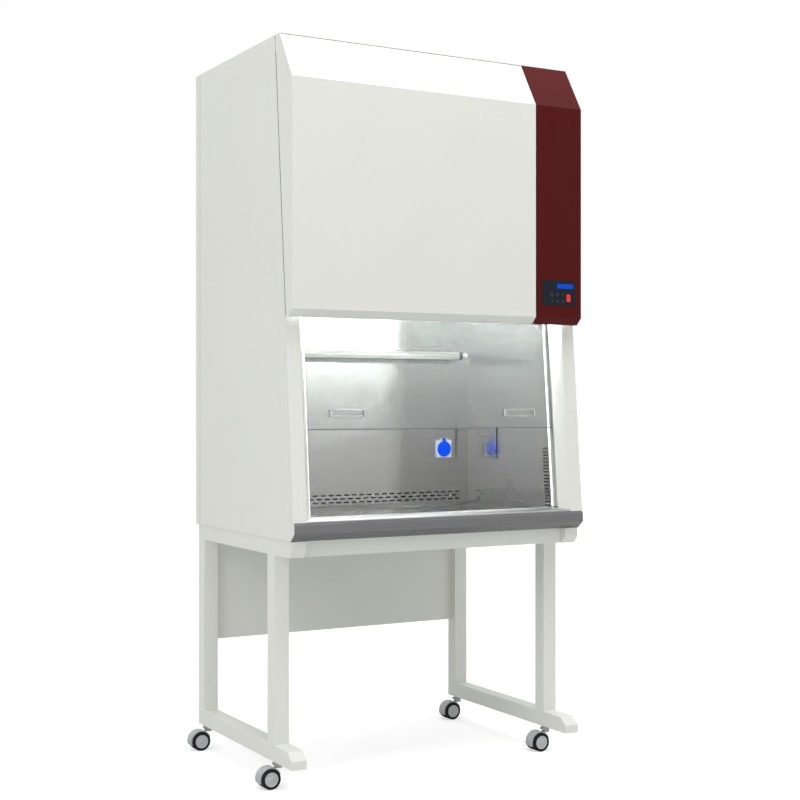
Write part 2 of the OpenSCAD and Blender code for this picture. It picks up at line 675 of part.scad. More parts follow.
module pulley_shaft() color(zinc) placed() translate([0, pulley_y, pulley_z]) rotate([0, 90, 0]) {
    cylinder(d = shaft_d, h = cab_w - 40, center = true);
    for (s = [-1, 1]) translate([0, 0, s * cable_x]) difference() {
        cylinder(r = flange_r, h = pulley_w, center = true);
        rotate_extrude() translate([flange_r, 0])
            square([2 * (flange_r - pulley_r + cable_d / 2 + 0.4), cable_d + 1], center = true);
        for (a = [0:60:300]) rotate(a) translate([pulley_r * 0.56, 0, 0])
            cylinder(r = pulley_r * 0.2, h = pulley_w + 2, center = true);
    }
}
bearing_l = wall_in / 2;
module shaft_bearings() color(zinc) placed() for (s = [-1, 1]) difference() {
    translate([s * (half_w - sheet - bearing_l / 2), 0, 0])
        pad(-bearing_l / 2, bearing_l / 2, pulley_y - 20, pulley_y + 20, pulley_z - 22, pulley_z + 22);
    translate([s * (half_w - sheet - bearing_l / 2), pulley_y, pulley_z]) rotate([0, 90, 0])
        cylinder(d = shaft_d + 2 * run_gap, h = bearing_l + 2, center = true);
}

// Each filter is a frame round a pleated sheet.
module pleats(d, h, w) let (n = floor(d / pleat), p = d / n, crest = 3)
    side_view(w) polygon(folded(concat([for (i = [0:n - 1]) each [[i * p, 4], [i * p + crest, 4],
        [i * p + p / 2, h - 5], [i * p + p / 2 + crest, h - 5]]], [[d, 4]]), 1.2));
module filter_box(x, y0, y1, z0, z1) {
    wall = 12;
    difference() {
        pad(-x, x, y0, y1, z0, z1);
        pad(-x + wall, x - wall, y0 + wall, y1 - wall, z0 - 1, z1 + 1);
    }
    translate([0, y0 + wall, z0]) pleats(y1 - y0 - 2 * wall, z1 - z0, 2 * (x - wall) + 1);
}
module supply_filter() color([0.92, 0.92, 0.9]) placed()
    filter_box(inner_w - seat_gap, deck_y, back_y - seat_gap, filter_z, filter_z + supply_h);
module exhaust_filter() color([0.92, 0.92, 0.9]) placed()
    filter_box(exhaust_w / 2, exhaust_y, exhaust_y + exhaust_d, plenum_z1, cab_h - sheet - seat_gap);

// The plenum is a folded box that holds the fan: the air comes in through its rear plate.
plenum_z0 = filter_z + supply_h + seat_gap;
fan_z = (plenum_z0 + plenum_z1) / 2;
inlet_r = 92;
fan_room = 36;                   // from the impeller's shroud to the plenum's rear plate
hub_room = 12;                   // from the motor's end to the impeller's back plate
fan_plate_y = back_y - blade_d - fan_room;
fan_front = fan_plate_y - motor_l - hub_room;
bracket_t = 3;
bracket_w = 24;
module plenum_box() color(zinc) placed() {
    w = inner_w - seat_gap;
    y1 = back_y - seat_gap;
    s = (track_end + 5) / cos(front_lean);
    difference() {
        side_view(2 * w) polygon(folded([[front_y(plenum_z0) + s, plenum_z0],
            [front_y(plenum_z1) + s, plenum_z1], [y1, plenum_z1], [y1, plenum_z0]], -sheet));
        pad(-exhaust_w / 2 + 20, exhaust_w / 2 - 20, exhaust_y + 20, exhaust_y + exhaust_d - 20,
            plenum_z1 - 2 * sheet, plenum_z1 + 1);
        translate([0, back_y, fan_z]) rotate([90, 0, 0]) cylinder(r = inlet_r, h = 20, center = true);
    }
    cone_l = y1 - fan_plate_y - blade_d - 1;
    translate([0, y1, fan_z]) rotate([90, 0, 0]) rotate_extrude() polygon([[inlet_r + 14, 0],
        [inlet_r + 14, 2.5], [inlet_r + 3, 5], [inlet_r - 2, 18], [inlet_r - 2, cone_l],
        [inlet_r - 4, cone_l], [inlet_r - 4, 17], [inlet_r, 3], [inlet_r, 0]]);
    for (x = [-1, 1]) pad((x * (fan_r + bracket_w)) - bracket_w / 2, x * (fan_r + bracket_w) + bracket_w / 2,
        fan_front - bracket_t, y1 - sheet / 2, fan_z - bracket_w / 2, fan_z + bracket_w / 2);
    pad(-fan_r - 1.5 * bracket_w, fan_r + 1.5 * bracket_w, fan_front - bracket_t, fan_front,
        fan_z - motor_d / 2, fan_z + motor_d / 2);
}
fan_shaft_d = 14;
hub_l = 24;
module fan_motor() color([0.25, 0.26, 0.28]) placed() translate([0, fan_front, fan_z]) rotate([-90, 0, 0]) {
    cylinder(d = motor_d + 18, h = 5);
    difference() {
        cylinder(d = motor_d, h = motor_l);
        for (a = [0:15:345]) rotate(a) translate([motor_d / 2, 0, hub_room])
            cylinder(d = 6, h = motor_l - 1.5 * hub_room, $fn = 16);
    }
    cylinder(d = motor_d / 3, h = motor_l + hub_room / 3);
    cylinder(d = fan_shaft_d, h = motor_l + hub_room + hub_l + 2);
}

// The impeller: a back plate with a hub, backward-curved blades and a shroud ring.
blade_in = 84;
blade_arc = 112;
module blade() intersection() {
    difference() {
        circle(r = fan_r);
        circle(r = blade_in);
    }
    translate([blade_in * 0.5, blade_arc * 0.86]) difference() {
        circle(r = blade_arc);
        circle(r = blade_arc - blade_t);
    }
    translate([0, -fan_r]) square([2 * fan_r, 1.35 * fan_r]);
}
module fan_impeller() color([0.30, 0.42, 0.52]) placed() translate([0, fan_plate_y, fan_z])
    rotate([-90, 0, 0]) difference() {
        union() {
            cylinder(r = fan_r + 2, h = 2);
            cylinder(d = 38, h = hub_l);
            linear_extrude(blade_d) for (i = [0:fan_blades - 1]) rotate(i * 360 / fan_blades) blade();
            translate([0, 0, blade_d - 2]) difference() {
                cylinder(r = fan_r + 2, h = 2);
                translate([0, 0, -1]) cylinder(r = inlet_r, h = 4);
            }
        }
        translate([0, 0, -1]) cylinder(d = fan_shaft_d + 2 * run_gap, h = 40);
    }

// An appliance inlet behind its cut-out in the rear panel: a shroud with three flat pins.
module power_inlet() color(dark) placed() {
    difference() {
        pad(inlet_x - inlet_w / 2 - 8, inlet_x + inlet_w / 2 + 8, cab_d - sheet - 24, cab_d - sheet,
            inlet_z - inlet_h / 2 - 4, inlet_z + inlet_h / 2 + 4);
        pad(inlet_x - 9, inlet_x + 9, cab_d - sheet - 17, cab_d, inlet_z - 13, inlet_z + 13);
    }
    for (z = [-7, 0, 7]) pad(inlet_x - 2 + (z == 0 ? 4 : -3), inlet_x + 2 + (z == 0 ? 4 : -3),
        cab_d - sheet - 18, cab_d - sheet - 10, inlet_z + z - 1, inlet_z + z + 1);
}

// A side frame is welded from square tube: a top rail, a foot rail and two posts.
rail_y = 14;
foot_y = 11;
foot_top = -(stand_h - caster_h - tube);
foot_bottom = -(stand_h - caster_h);
module tube_cut(y0, y1, z0, z1) pad(-half_w + stand_in + tube_wall, -half_w + stand_in + tube - tube_wall,
    y0, y1, z0, z1);
stem_ys = [front_post_y + tube / 2, stand_rear_y - tube / 2];
module side_frame() difference() {
    side_view_from(-half_w + stand_in, tube) difference() {
        polygon([[rail_y, 0], [stand_rear_y, 0], [stand_rear_y, foot_bottom], [foot_y, foot_bottom],
            [foot_y, foot_bottom + 26], [foot_y + 30, foot_top], [front_post_y, foot_top],
            [front_post_y, -tube], [rail_y + 18, -tube], [rail_y, -29]]);
        translate([front_post_y + tube, foot_top])
            square([stand_rear_y - front_post_y - 2 * tube, -foot_top - tube]);
    }
    tube_cut(rail_y + 20, stand_rear_y + 1, -tube + tube_wall, -tube_wall);
    tube_cut(foot_y + 32, stand_rear_y + 1, foot_bottom + tube_wall, foot_top - tube_wall);
    for (y = stem_ys) {
        tube_cut(y - tube / 2 + tube_wall, y + tube / 2 - tube_wall, foot_bottom + tube, -tube);
        tube_cut(y - tube / 2 + tube_wall, y + tube / 2 - tube_wall, foot_top - tube / 2, -tube / 2);
        translate([-stem_x, y, foot_bottom - 1]) cylinder(d = stem_d + 2 * run_gap, h = tube_wall + 2);
    }
}
module left_side_frame() color(paint) placed() side_frame();
module right_side_frame() color(paint) placed() mirror([1, 0, 0]) side_frame();

cross_y = 40;
module front_cross_rail() color(paint) placed() difference() {
    pad(-half_w + stand_in + tube, half_w - stand_in - tube, cross_y, cross_y + tube, -tube, 0);
    pad(-half_w, half_w, cross_y + tube_wall, cross_y + tube - tube_wall, -tube + tube_wall, -tube_wall);
}
modesty_y = stand_rear_y - 22;
module modesty_panel() color(paint) placed() {
    w = half_w - stand_in - tube;
    pad(-w, w, modesty_y, modesty_y + sheet, -modesty_h, 0);
    for (x = [-w, w - sheet]) pad(x, x + sheet, modesty_y, modesty_y + 20, -modesty_h, 0);
    for (z = [-modesty_h, -sheet]) pad(-w, w, modesty_y, modesty_y + 14, z, z + sheet);
}

// A twin-wheel caster, drawn round its stem with z from the floor.
wheel_r = wheel_d / 2;
web_t = 7;
axle_d = 8;
house_z0 = caster_h - 24;
house_z1 = caster_h - 5.5;
module caster_at(x, y) translate([x, y, -stand_h]) children();
module fork() difference() {
    union() {
        translate([-trail, 0, wheel_r]) rotate([90, 0, 0]) {
            linear_extrude(caster_w - 2 * tread_show, center = true) difference() {
                circle(r = fork_r);
                circle(r = wheel_r + 1);
                rotate(20) translate([-2 * fork_r, -4 * fork_r]) square(4 * fork_r);
            }
            linear_extrude(web_t, center = true) difference() {
                circle(r = fork_r - 1);
                translate([-fork_r, -2 * fork_r - 16]) square(2 * fork_r);
            }
        }
        translate([0, 0, house_z0]) cylinder(d = 26, h = house_z1 - house_z0);
        pad(-trail / 2, 0, -9, 9, house_z1 - 10, house_z1 - 2);
    }
    translate([-trail, 0, wheel_r]) rotate([90, 0, 0])
        cylinder(d = axle_d + 2 * run_gap, h = web_t + 2, center = true);
    translate([0, 0, house_z0 + 3]) cylinder(d = stem_d + 2 * run_gap, h = 40);
}
module wheels() translate([-trail, 0, wheel_r]) rotate([90, 0, 0]) {
    for (s = [0, 180]) rotate([s, 0, 0]) rotate_extrude() polygon([[0, web_t / 2 + 0.5],
        [wheel_r - 2, web_t / 2 + 0.5], [wheel_r, web_t / 2 + 2.5], [wheel_r, caster_w / 2 - 3],
        [wheel_r - 3, caster_w / 2], [wheel_r - 8, caster_w / 2], [wheel_r - 10, caster_w / 2 - 2],
        [0, caster_w / 2 - 2]]);
    cylinder(d = axle_d, h = web_t + 4, center = true);
}
module stem() {
    translate([0, 0, house_z0 + 3 + seat_gap]) cylinder(d = stem_d, h = caster_h - house_z0 + 20);
    translate([0, 0, caster_h - 5]) cylinder(d = stem_d * 7 / 3, h = 5);
}
module caster_stems() color(zinc) placed() for (x = [-stem_x, stem_x], y = stem_ys)
    caster_at(x, y) stem();
module front_left_fork() color([0.62, 0.63, 0.64]) placed() caster_at(-stem_x, stem_ys[0]) fork();
module front_right_fork() color([0.62, 0.63, 0.64]) placed() caster_at(stem_x, stem_ys[0]) fork();
module rear_left_fork() color([0.62, 0.63, 0.64]) placed() caster_at(-stem_x, stem_ys[1]) fork();
module rear_right_fork() color([0.62, 0.63, 0.64]) placed() caster_at(stem_x, stem_ys[1]) fork();
module front_left_wheels() color(dark) placed() caster_at(-stem_x, stem_ys[0]) wheels();
module front_right_wheels() color(dark) placed() caster_at(stem_x, stem_ys[0]) wheels();
module rear_left_wheels() color(dark) placed() caster_at(-stem_x, stem_ys[1]) wheels();
module rear_right_wheels() color(dark) placed() caster_at(stem_x, stem_ys[1]) wheels();

left_side_panel();
right_side_panel();
rear_panel();
top_panel();
base_pan();
left_front_post();
right_front_post();
sash_guides();
hood_cover();
console_cover();
control_panel();
lcd_window();
key(0);  // key_1
key(1);  // key_2
key(2);  // key_3
key(3);  // key_4
key(4);  // key_5
key(5);  // key_6
power_switch();
work_lamp();
armrest();
front_grille();
work_surface();
left_inner_wall();
right_inner_wall();
back_wall();
ceiling_diffuser();
service_plate();
uv_lamp_tube();
uv_lamp_holders();
socket_frame();
socket_flap();
sash_glass();
sash_handles();
sash_carrier();
sash_cables();
counterweight_cables();
counterweights();
pulley_shaft();
shaft_bearings();
supply_filter();
plenum_box();
fan_motor();
fan_impeller();
exhaust_filter();
power_inlet();
left_side_frame();
right_side_frame();
front_cross_rail();
modesty_panel();
caster_stems();
front_left_fork();
front_right_fork();
rear_left_fork();
rear_right_fork();
front_left_wheels();
front_right_wheels();
rear_left_wheels();
rear_right_wheels();
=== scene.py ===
import json
import math

import bmesh
import bpy
import numpy as np
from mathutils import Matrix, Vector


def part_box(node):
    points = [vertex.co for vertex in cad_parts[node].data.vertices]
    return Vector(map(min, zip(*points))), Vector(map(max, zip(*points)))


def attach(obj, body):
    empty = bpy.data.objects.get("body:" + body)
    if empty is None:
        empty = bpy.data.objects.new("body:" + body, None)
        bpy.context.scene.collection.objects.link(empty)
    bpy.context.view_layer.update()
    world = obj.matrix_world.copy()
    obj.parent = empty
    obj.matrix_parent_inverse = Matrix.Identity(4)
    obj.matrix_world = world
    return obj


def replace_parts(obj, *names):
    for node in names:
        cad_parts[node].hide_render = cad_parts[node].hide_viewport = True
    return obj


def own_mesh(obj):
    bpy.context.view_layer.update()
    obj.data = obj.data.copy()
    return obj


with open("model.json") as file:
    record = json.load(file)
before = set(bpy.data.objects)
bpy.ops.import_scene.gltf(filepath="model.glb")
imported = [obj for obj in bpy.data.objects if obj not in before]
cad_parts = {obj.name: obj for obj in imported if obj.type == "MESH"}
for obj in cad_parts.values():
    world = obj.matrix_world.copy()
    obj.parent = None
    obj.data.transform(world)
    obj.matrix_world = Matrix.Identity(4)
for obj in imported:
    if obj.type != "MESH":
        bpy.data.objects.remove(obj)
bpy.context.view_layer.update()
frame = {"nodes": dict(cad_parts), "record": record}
nodes = frame["nodes"]


# Camera
# At the photograph's place: a little above the work surface, left of the cabinet's front, and
# level, so that upright edges stay upright.
camera_place = (-2.328, -4.278, 1.173)
camera_turn = 29.3
camera = bpy.data.objects.new("camera", bpy.data.cameras.new("camera"))
bpy.context.scene.collection.objects.link(camera)
camera.location = camera_place
camera.rotation_euler = (math.pi / 2, 0, -math.radians(camera_turn))
camera.data.lens = 65.5
camera.data.sensor_width = 36
camera.data.shift_y = 0.0036
bpy.context.scene.camera = camera
bpy.context.scene.view_settings.view_transform = "Standard"


# Floor and light
# A white studio: a pale floor that keeps the soft shadow, an even white surround, and wide soft
# lamps to the left, above the cabinet and high in front of it.
class Wire:
    """An output socket of a node tree. Sums, products and the like of wires and numbers add
    Math nodes; add() makes any other node."""

    def __init__(self, tree, socket=None):
        self.tree, self.socket = tree, socket

    def add(self, kind, settings, sockets, out=0):
        """One node: its settings come first, then the values or wires of its sockets."""
        node = self.tree.nodes.new("ShaderNode" + kind)
        for name, value in settings.items():
            setattr(node, name, value)
        for name, value in sockets.items():
            if isinstance(value, Wire):
                self.tree.links.new(value.socket, node.inputs[name])
            else:
                node.inputs[name].default_value = value
        return Wire(self.tree, node.outputs[out]) if node.outputs else None

    def math(self, operation, a, b):
        return self.add("Math", {"operation": operation}, {0: a, 1: b})

    def __add__(self, other):
        return self.math("ADD", self, other)

    def __radd__(self, other):
        return self.math("ADD", other, self)

    def __sub__(self, other):
        return self.math("SUBTRACT", self, other)

    def __rsub__(self, other):
        return self.math("SUBTRACT", other, self)

    def __mul__(self, other):
        return self.math("MULTIPLY", self, other)

    def __rmul__(self, other):
        return self.math("MULTIPLY", other, self)

    def grain(self, per_metre, detail=3.0):
        """Noise from 0 to 1 on object coordinates, with so many grains a metre along x, y, z."""
        place = self.add("TexCoord", {}, {}, "Object")
        scaled = self.add("Mapping", {}, {"Vector": place, "Scale": per_metre})
        return self.add("TexNoise", {}, {"Vector": scaled, "Scale": 1.0, "Detail": detail})

    def place(self, axis):
        """Object coordinates along x, y or z, which are axis 0, 1 or 2, in metres."""
        return self.add("SeparateXYZ", {}, {0: self.add("TexCoord", {}, {}, "Object")}, axis)

    def blend(self, factor, a, b):
        """The colour a where factor is 0 and b where it is 1."""
        return self.add("Mix", {"data_type": "RGBA"}, {0: factor, 6: a, 7: b}, 2)

    def bump(self, height, metres, strength=1.0):
        """The normal over a relief as deep as this many metres."""
        return self.add("Bump", {}, {"Height": height, "Distance": metres, "Strength": strength})


def new_finish(name):
    """An empty material, and the wire that its nodes hang on."""
    made = bpy.data.materials.new(name)
    made.use_nodes = True
    made.node_tree.nodes.clear()
    return made, Wire(made.node_tree)


def close_finish(w, sockets):
    """Ends a material in a Principled shader with these sockets."""
    shader = w.add("BsdfPrincipled", {}, sockets)
    w.add("OutputMaterial", {}, {"Surface": shader})


def dull(colour):
    """A colour as the photograph's 0 to 255 values, in the linear scale that shaders read."""
    c = np.array(colour) / 255
    return (*np.where(c > 0.04045, ((c + 0.055) / 1.055) ** 2.4, c / 12.92), 1)


def seen_directly(w, by_gloss=1.0):
    """1 for what the camera sees, by_gloss for what gloss shows, and 0 for light on its way."""
    ray = w.add("LightPath", {}, {}, "Is Camera Ray")
    gloss, glass = (Wire(w.tree, ray.socket.node.outputs[name])
                    for name in ("Is Glossy Ray", "Is Transmission Ray"))
    return w.math("MINIMUM", ray + gloss * by_gloss + glass, 1.0)


near_glow, far_glow, glow_in_gloss = 0.52, 0.72, 0.1
near_d, far_d, floor_half = 1.2, 5.0, 40.0
floor_finish, w = new_finish("floor_white")
spot = w.add("VectorMath", {"operation": "LENGTH"}, {0: w.add("TexCoord", {}, {}, "Object")}, "Value")
far = w.add("MapRange", {"interpolation_type": "SMOOTHSTEP"}, {
    "Value": spot, "From Min": near_d, "From Max": far_d, "To Min": near_glow, "To Max": far_glow})
close_finish(w, {
    "Base Color": w.blend(w.grain((2, 2, 2)), (0.72, 0.72, 0.72, 1), (0.74, 0.74, 0.74, 1)),
    "Roughness": 0.9, "Specular IOR Level": 0.0, "Emission Color": (1, 1, 1, 1),
    "Emission Strength": seen_directly(w, glow_in_gloss) * far})
floor_mesh = bpy.data.meshes.new("floor")
floor_mesh.from_pydata([(-floor_half, -floor_half, 0), (floor_half, -floor_half, 0),
                        (floor_half, floor_half, 0), (-floor_half, floor_half, 0)], [], [(0, 1, 2, 3)])
floor_mesh.materials.append(floor_finish)
floor = bpy.data.objects.new("floor", floor_mesh)
bpy.context.scene.collection.objects.link(floor)

world = bpy.data.worlds.new("studio")
world.use_nodes = True
world.node_tree.nodes.clear()
w = Wire(world.node_tree)
level_light, overhead_light, dome_top = 0.52, 0.76, 0.8
up = w.add("SeparateXYZ", {}, {0: w.add("TexCoord", {}, {}, "Generated")}, 2)
surround = w.add("MapRange", {"interpolation_type": "SMOOTHSTEP"}, {
    "Value": up, "From Min": 0.0, "From Max": dome_top, "To Min": level_light, "To Max": overhead_light})
w.add("OutputWorld", {}, {"Surface": w.add("Background", {}, {
    "Color": (1, 1, 1, 1), "Strength": w.math("MAXIMUM", surround, seen_directly(w))})})
bpy.context.scene.world = world


def soft_lamp(name, place, aim, side, watts):
    """A square of light at place that faces aim."""
    lamp = bpy.data.objects.new(name, bpy.data.lights.new(name, "AREA"))
    lamp.data.shape, lamp.data.size = "SQUARE", side
    lamp.data.energy = watts
    lamp.location = place
    away = np.array(aim, float) - np.array(place, float)
    flat = math.hypot(away[0], away[1])
    lamp.rotation_euler = (math.pi / 2 + math.atan2(away[2], flat), 0, math.atan2(-away[0], away[1]))
    lamp.visible_camera = False
    bpy.context.scene.collection.objects.link(lamp)


soft_lamp("key_lamp", (-5.8, -2.9, 4.5), (0, 0, 1.2), 2.8, 88)
soft_lamp("top_lamp", (0.3, -0.9, 5.0), (0, 0, 0), 2.6, 84)
soft_lamp("high_lamp", (-1.5, -5.0, 12.0), (0, 0, 0), 3.0, 230)


# Painted housing and stand
# Folded steel sheet and welded square tube, powder coated in a warm white with a fine texture.
# Each visible piece keeps its CAD shape, with its folded edges rounded a little.
paint, w = new_finish("white_powder_coat")
peel = w.grain((700, 700, 700), 2.0)
cloud = w.grain((3, 3, 3), 2.0)
close_finish(w, {
    "Base Color": w.blend(cloud, dull((225, 227, 219)), dull((230, 232, 225))),
    "Roughness": 0.40 + peel * 0.12,
    "Normal": w.bump(peel, 0.00012, 0.5)})


def dress(finish, *names):
    """Gives CAD nodes a finish."""
    for name in names:
        nodes[name].data.materials.clear()
        nodes[name].data.materials.append(finish)


def body_of(name):
    """The CAD body that a node moves with."""
    return next(b for b, members in frame["record"]["behaviour"]["bodies"].items() if name in members)


def eased(name, finish, width=0.0008, segments=2):
    """A copy of a CAD node with its loose triangles merged and its edges rounded to this width."""
    merge_d, flat_angle, fold_angle = 1e-5, math.radians(1), math.radians(30)
    mesh = nodes[name].data.copy()
    bm = bmesh.new()
    bm.from_mesh(mesh)
    bmesh.ops.remove_doubles(bm, verts=bm.verts, dist=merge_d)
    bmesh.ops.dissolve_limit(bm, angle_limit=flat_angle, verts=bm.verts, edges=bm.edges)
    bm.to_mesh(mesh)
    bm.free()
    mesh.materials.clear()
    mesh.materials.append(finish)
    made = bpy.data.objects.new(name + "_eased", mesh)
    bpy.context.scene.collection.objects.link(made)
    bevel = made.modifiers.new("edges", "BEVEL")
    bevel.width, bevel.segments = width, segments
    bevel.limit_method, bevel.angle_limit = "ANGLE", fold_angle
    bevel.harden_normals = True
    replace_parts(made, name)
    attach(made, body_of(name))


dress(paint, "left_side_panel", "right_side_panel", "rear_panel", "top_panel")
for name in ("left_front_post", "right_front_post", "hood_cover", "left_side_frame",
             "right_side_frame", "front_cross_rail", "modesty_panel"):
    eased(name, paint)


# Console
# A folded steel cover beside the hood, powder coated dark red. It stays on the cabinet when the
# hood swings up, and carries the membrane panel on its face.
maroon, w = new_finish("maroon_powder_coat")
peel = w.grain((700, 700, 700), 2.0)
cloud = w.grain((4, 4, 4), 2.0)
close_finish(w, {
    "Base Color": w.blend(cloud, dull((77, 11, 11)), dull((83, 14, 14))),
    "Roughness": 0.5 + peel * 0.1, "Specular IOR Level": 0.12,
    "Normal": w.bump(peel, 0.00012, 0.5)})
eased("console_cover", maroon)


# Control panel
# A black membrane over the console's face, with a lit display, six dark keys that each carry a
# small white dot, and a red rocker with a pinched waist.
membrane, w = new_finish("black_membrane")
fine = w.grain((2500, 2500, 2500), 2.0)
close_finish(w, {
    "Base Color": w.blend(w.grain((20, 20, 20)), dull((14, 18, 30)), dull((20, 24, 36))),
    "Roughness": 0.4 + fine * 0.12, "Specular IOR Level": 0.2, "Normal": w.bump(fine, 0.00002)})
display, w = new_finish("blue_display")
band = w.grain((90, 90, 700), 1.0)
close_finish(w, {
    "Base Color": dull((2, 24, 100)), "Roughness": 0.2 + band * 0.05, "Specular IOR Level": 0.12,
    "Emission Color": w.blend(band, dull((0, 80, 204)), dull((2, 92, 222))),
    "Emission Strength": 0.66})


def speckled(name, per_metre, dark, light, rough, spread, relief=None, detail=2.0, metal=0.0, coat=0.0,
             specular=0.5):
    """A finish with so many fine grains a metre. Where the noise goes from 0 to 1, the colour goes
    from dark to light and the roughness from rough to rough + spread. The relief is in metres."""
    made, w = new_finish(name)
    fine = w.grain((per_metre, per_metre, per_metre), detail)
    sockets = {"Base Color": w.blend(fine, dull(dark), dull(light)), "Roughness": rough + fine * spread,
               "Metallic": metal, "Coat Weight": coat, "Specular IOR Level": specular}
    if relief:
        sockets["Normal"] = w.bump(fine, relief)
    close_finish(w, sockets)
    return made


key_dark = speckled("key_dark", 3000, (30, 36, 52), (40, 46, 62), 0.38, 0.1, specular=0.3)
key_dot = speckled("key_dot_white", 2000, (226, 230, 236), (244, 246, 250), 0.4, 0.1)
switch_red = speckled("switch_red", 600, (224, 22, 30), (236, 34, 40), 0.28, 0.08, coat=0.3)
eased("control_panel", membrane, 0.0004)
dress(display, "lcd_window")


def grid_faces(rows, columns, base=0):
    """Quads between neighbouring points of a grid that is stored row by row."""
    i, j = np.meshgrid(np.arange(rows - 1), np.arange(columns - 1), indexing="ij")
    a = base + i * columns + j
    return np.stack([a, a + 1, a + columns + 1, a + columns], -1).reshape(-1, 4)


def piece(name, grids, finish, body, smooth=True):
    """One mesh of several grids of points (rows, columns, 3): doubles are merged, so that a grid
    closes where its points meet, and its normals are made to point outwards."""
    points = np.concatenate([g.reshape(-1, 3) for g in grids])
    starts = np.cumsum([0] + [g.shape[0] * g.shape[1] for g in grids[:-1]])
    faces = np.concatenate([grid_faces(g.shape[0], g.shape[1], b) for g, b in zip(grids, starts)])
    mesh = bpy.data.meshes.new(name)
    mesh.from_pydata(points, [], faces)
    bm = bmesh.new()
    bm.from_mesh(mesh)
    bmesh.ops.remove_doubles(bm, verts=bm.verts, dist=1e-6)
    bmesh.ops.recalc_face_normals(bm, faces=bm.faces)
    bm.to_mesh(mesh)
    bm.free()
    mesh.materials.append(finish)
    if smooth:
        mesh.shade_smooth()
        mesh.set_sharp_from_angle(angle=math.radians(35))
    made = bpy.data.objects.new(name, mesh)
    bpy.context.scene.collection.objects.link(made)
    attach(made, body)
    return made


def turned(profile, centre, along, sides=48):
    """A profile of (distance along the axis, radius) turned about an axis through centre:
    point = centre + d * axis + r * (cos a * u + sin a * v) for a right-handed u, v, axis."""
    axis = np.array(along, float) / np.linalg.norm(along)
    u = np.cross(axis, (0, 0, 1) if abs(axis[2]) < 0.9 else (1, 0, 0))
    u /= np.linalg.norm(u)
    a = np.linspace(0, 2 * np.pi, sides + 1)
    a[-1] = 0
    d, r = np.array(profile, float).T
    ring = np.cos(a)[:, None] * u + np.sin(a)[:, None] * np.cross(axis, u)
    return (np.array(centre, float) + d[:, None, None] * axis + r[:, None, None] * ring[None])


def swept(outline, start, end, up=(0, 0, 1)):
    """A closed outline of (across, up) points carried straight from start to end, with its ends
    closed by a fan to their middle: point = end + across * (axis x up) + up * ((axis x up) x axis)."""
    start, end, up = np.array(start, float), np.array(end, float), np.array(up, float)
    axis = (end - start) / np.linalg.norm(end - start)
    across = np.cross(axis, up)
    up = np.cross(across, axis)
    o = np.array(list(outline) + [outline[0]], float)
    flat = o[:, :1] * across + o[:, 1:] * up
    middle = np.repeat(flat[:-1].mean(0)[None], len(flat), 0)
    return np.stack([start + middle, start + flat, end + flat, end + middle])


def round_outline(w, h, r, chords=5):
    """A rectangle w by h with round corners of radius r, as (across, up) points: a quarter circle,
    turned four times and set off to each corner."""
    a = np.linspace(0, np.pi / 2, chords + 1)
    corner = r * np.stack([np.cos(a), np.sin(a)], 1)
    signs = [(1, 1), (-1, 1), (-1, -1), (1, -1)]
    turn = [lambda c: c, lambda c: c[::-1] * (-1, 1), lambda c: -c, lambda c: c[::-1] * (1, -1)]
    return np.concatenate([f(corner) + (sx * (w / 2 - r), sz * (h / 2 - r))
                           for f, (sx, sz) in zip(turn, signs)])


dot_r, dot_h, dot_sink, dot_round = 0.0021, 0.0004, 0.0003, 0.0002
dot_profile = [(-dot_sink, 0), (-dot_sink, dot_r), (dot_h - dot_round / 2, dot_r),
               (dot_h, dot_r - dot_round), (dot_h, 0)]
for name in (f"key_{number}" for number in range(1, 7)):
    eased(name, key_dark, 0.0004)
    low, high = (np.array(c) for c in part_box(name))
    face = ((low[0] + high[0]) / 2, low[1] + dot_h, (low[2] + high[2]) / 2)
    piece(name + "_dot", [turned(dot_profile, face, (0, -1, 0), 24)], key_dot, body_of(name))


def rocker(low, high, sides=64):
    """A switch cap between two corners, as rings that shrink towards its middle. A ring is a
    superellipse: x, z = half sizes * |cos a|^(2 / power), |sin a|^(2 / power) with their signs. Its
    width is 1 - pinch * exp(-(z / waist)^2) times that, and the face is dished by dish_depth *
    (1 - z^2)."""
    power, pinch, waist, dish_depth, edge_round = 3.4, 0.14, 0.42, 0.0007, (0.0007, 0.0003)
    a = np.linspace(0, 2 * np.pi, sides + 1)
    a[-1] = 0
    half = (np.array(high) - np.array(low)) / 2
    middle = (np.array(high) + np.array(low)) / 2
    round_trip = np.stack([np.cos(a), np.sin(a)])
    edge = np.abs(round_trip) ** (2 / power) * np.sign(round_trip)
    edge[0] *= 1 - pinch * np.exp(-(edge[1] / waist) ** 2)
    shrink = np.array([1, 1, 0.985, 0.94, 0.8, 0.55, 0.3, 0.1, 0])
    on_face = np.arange(len(shrink)) > 2
    depth = np.full(len(shrink), low[1])
    depth[:3] = high[1], low[1] + edge_round[0], low[1] + edge_round[1]
    x = middle[0] + half[0] * edge[0] * shrink[:, None]
    z = middle[2] + half[2] * edge[1] * shrink[:, None]
    bowl = dish_depth * (1 - ((z - middle[2]) / half[2]) ** 2) * on_face[:, None]
    return np.stack([x, depth[:, None] + bowl, z], -1)


cap = piece("power_switch_cap", [rocker(*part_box("power_switch"))], switch_red, body_of("power_switch"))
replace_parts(cap, "power_switch")


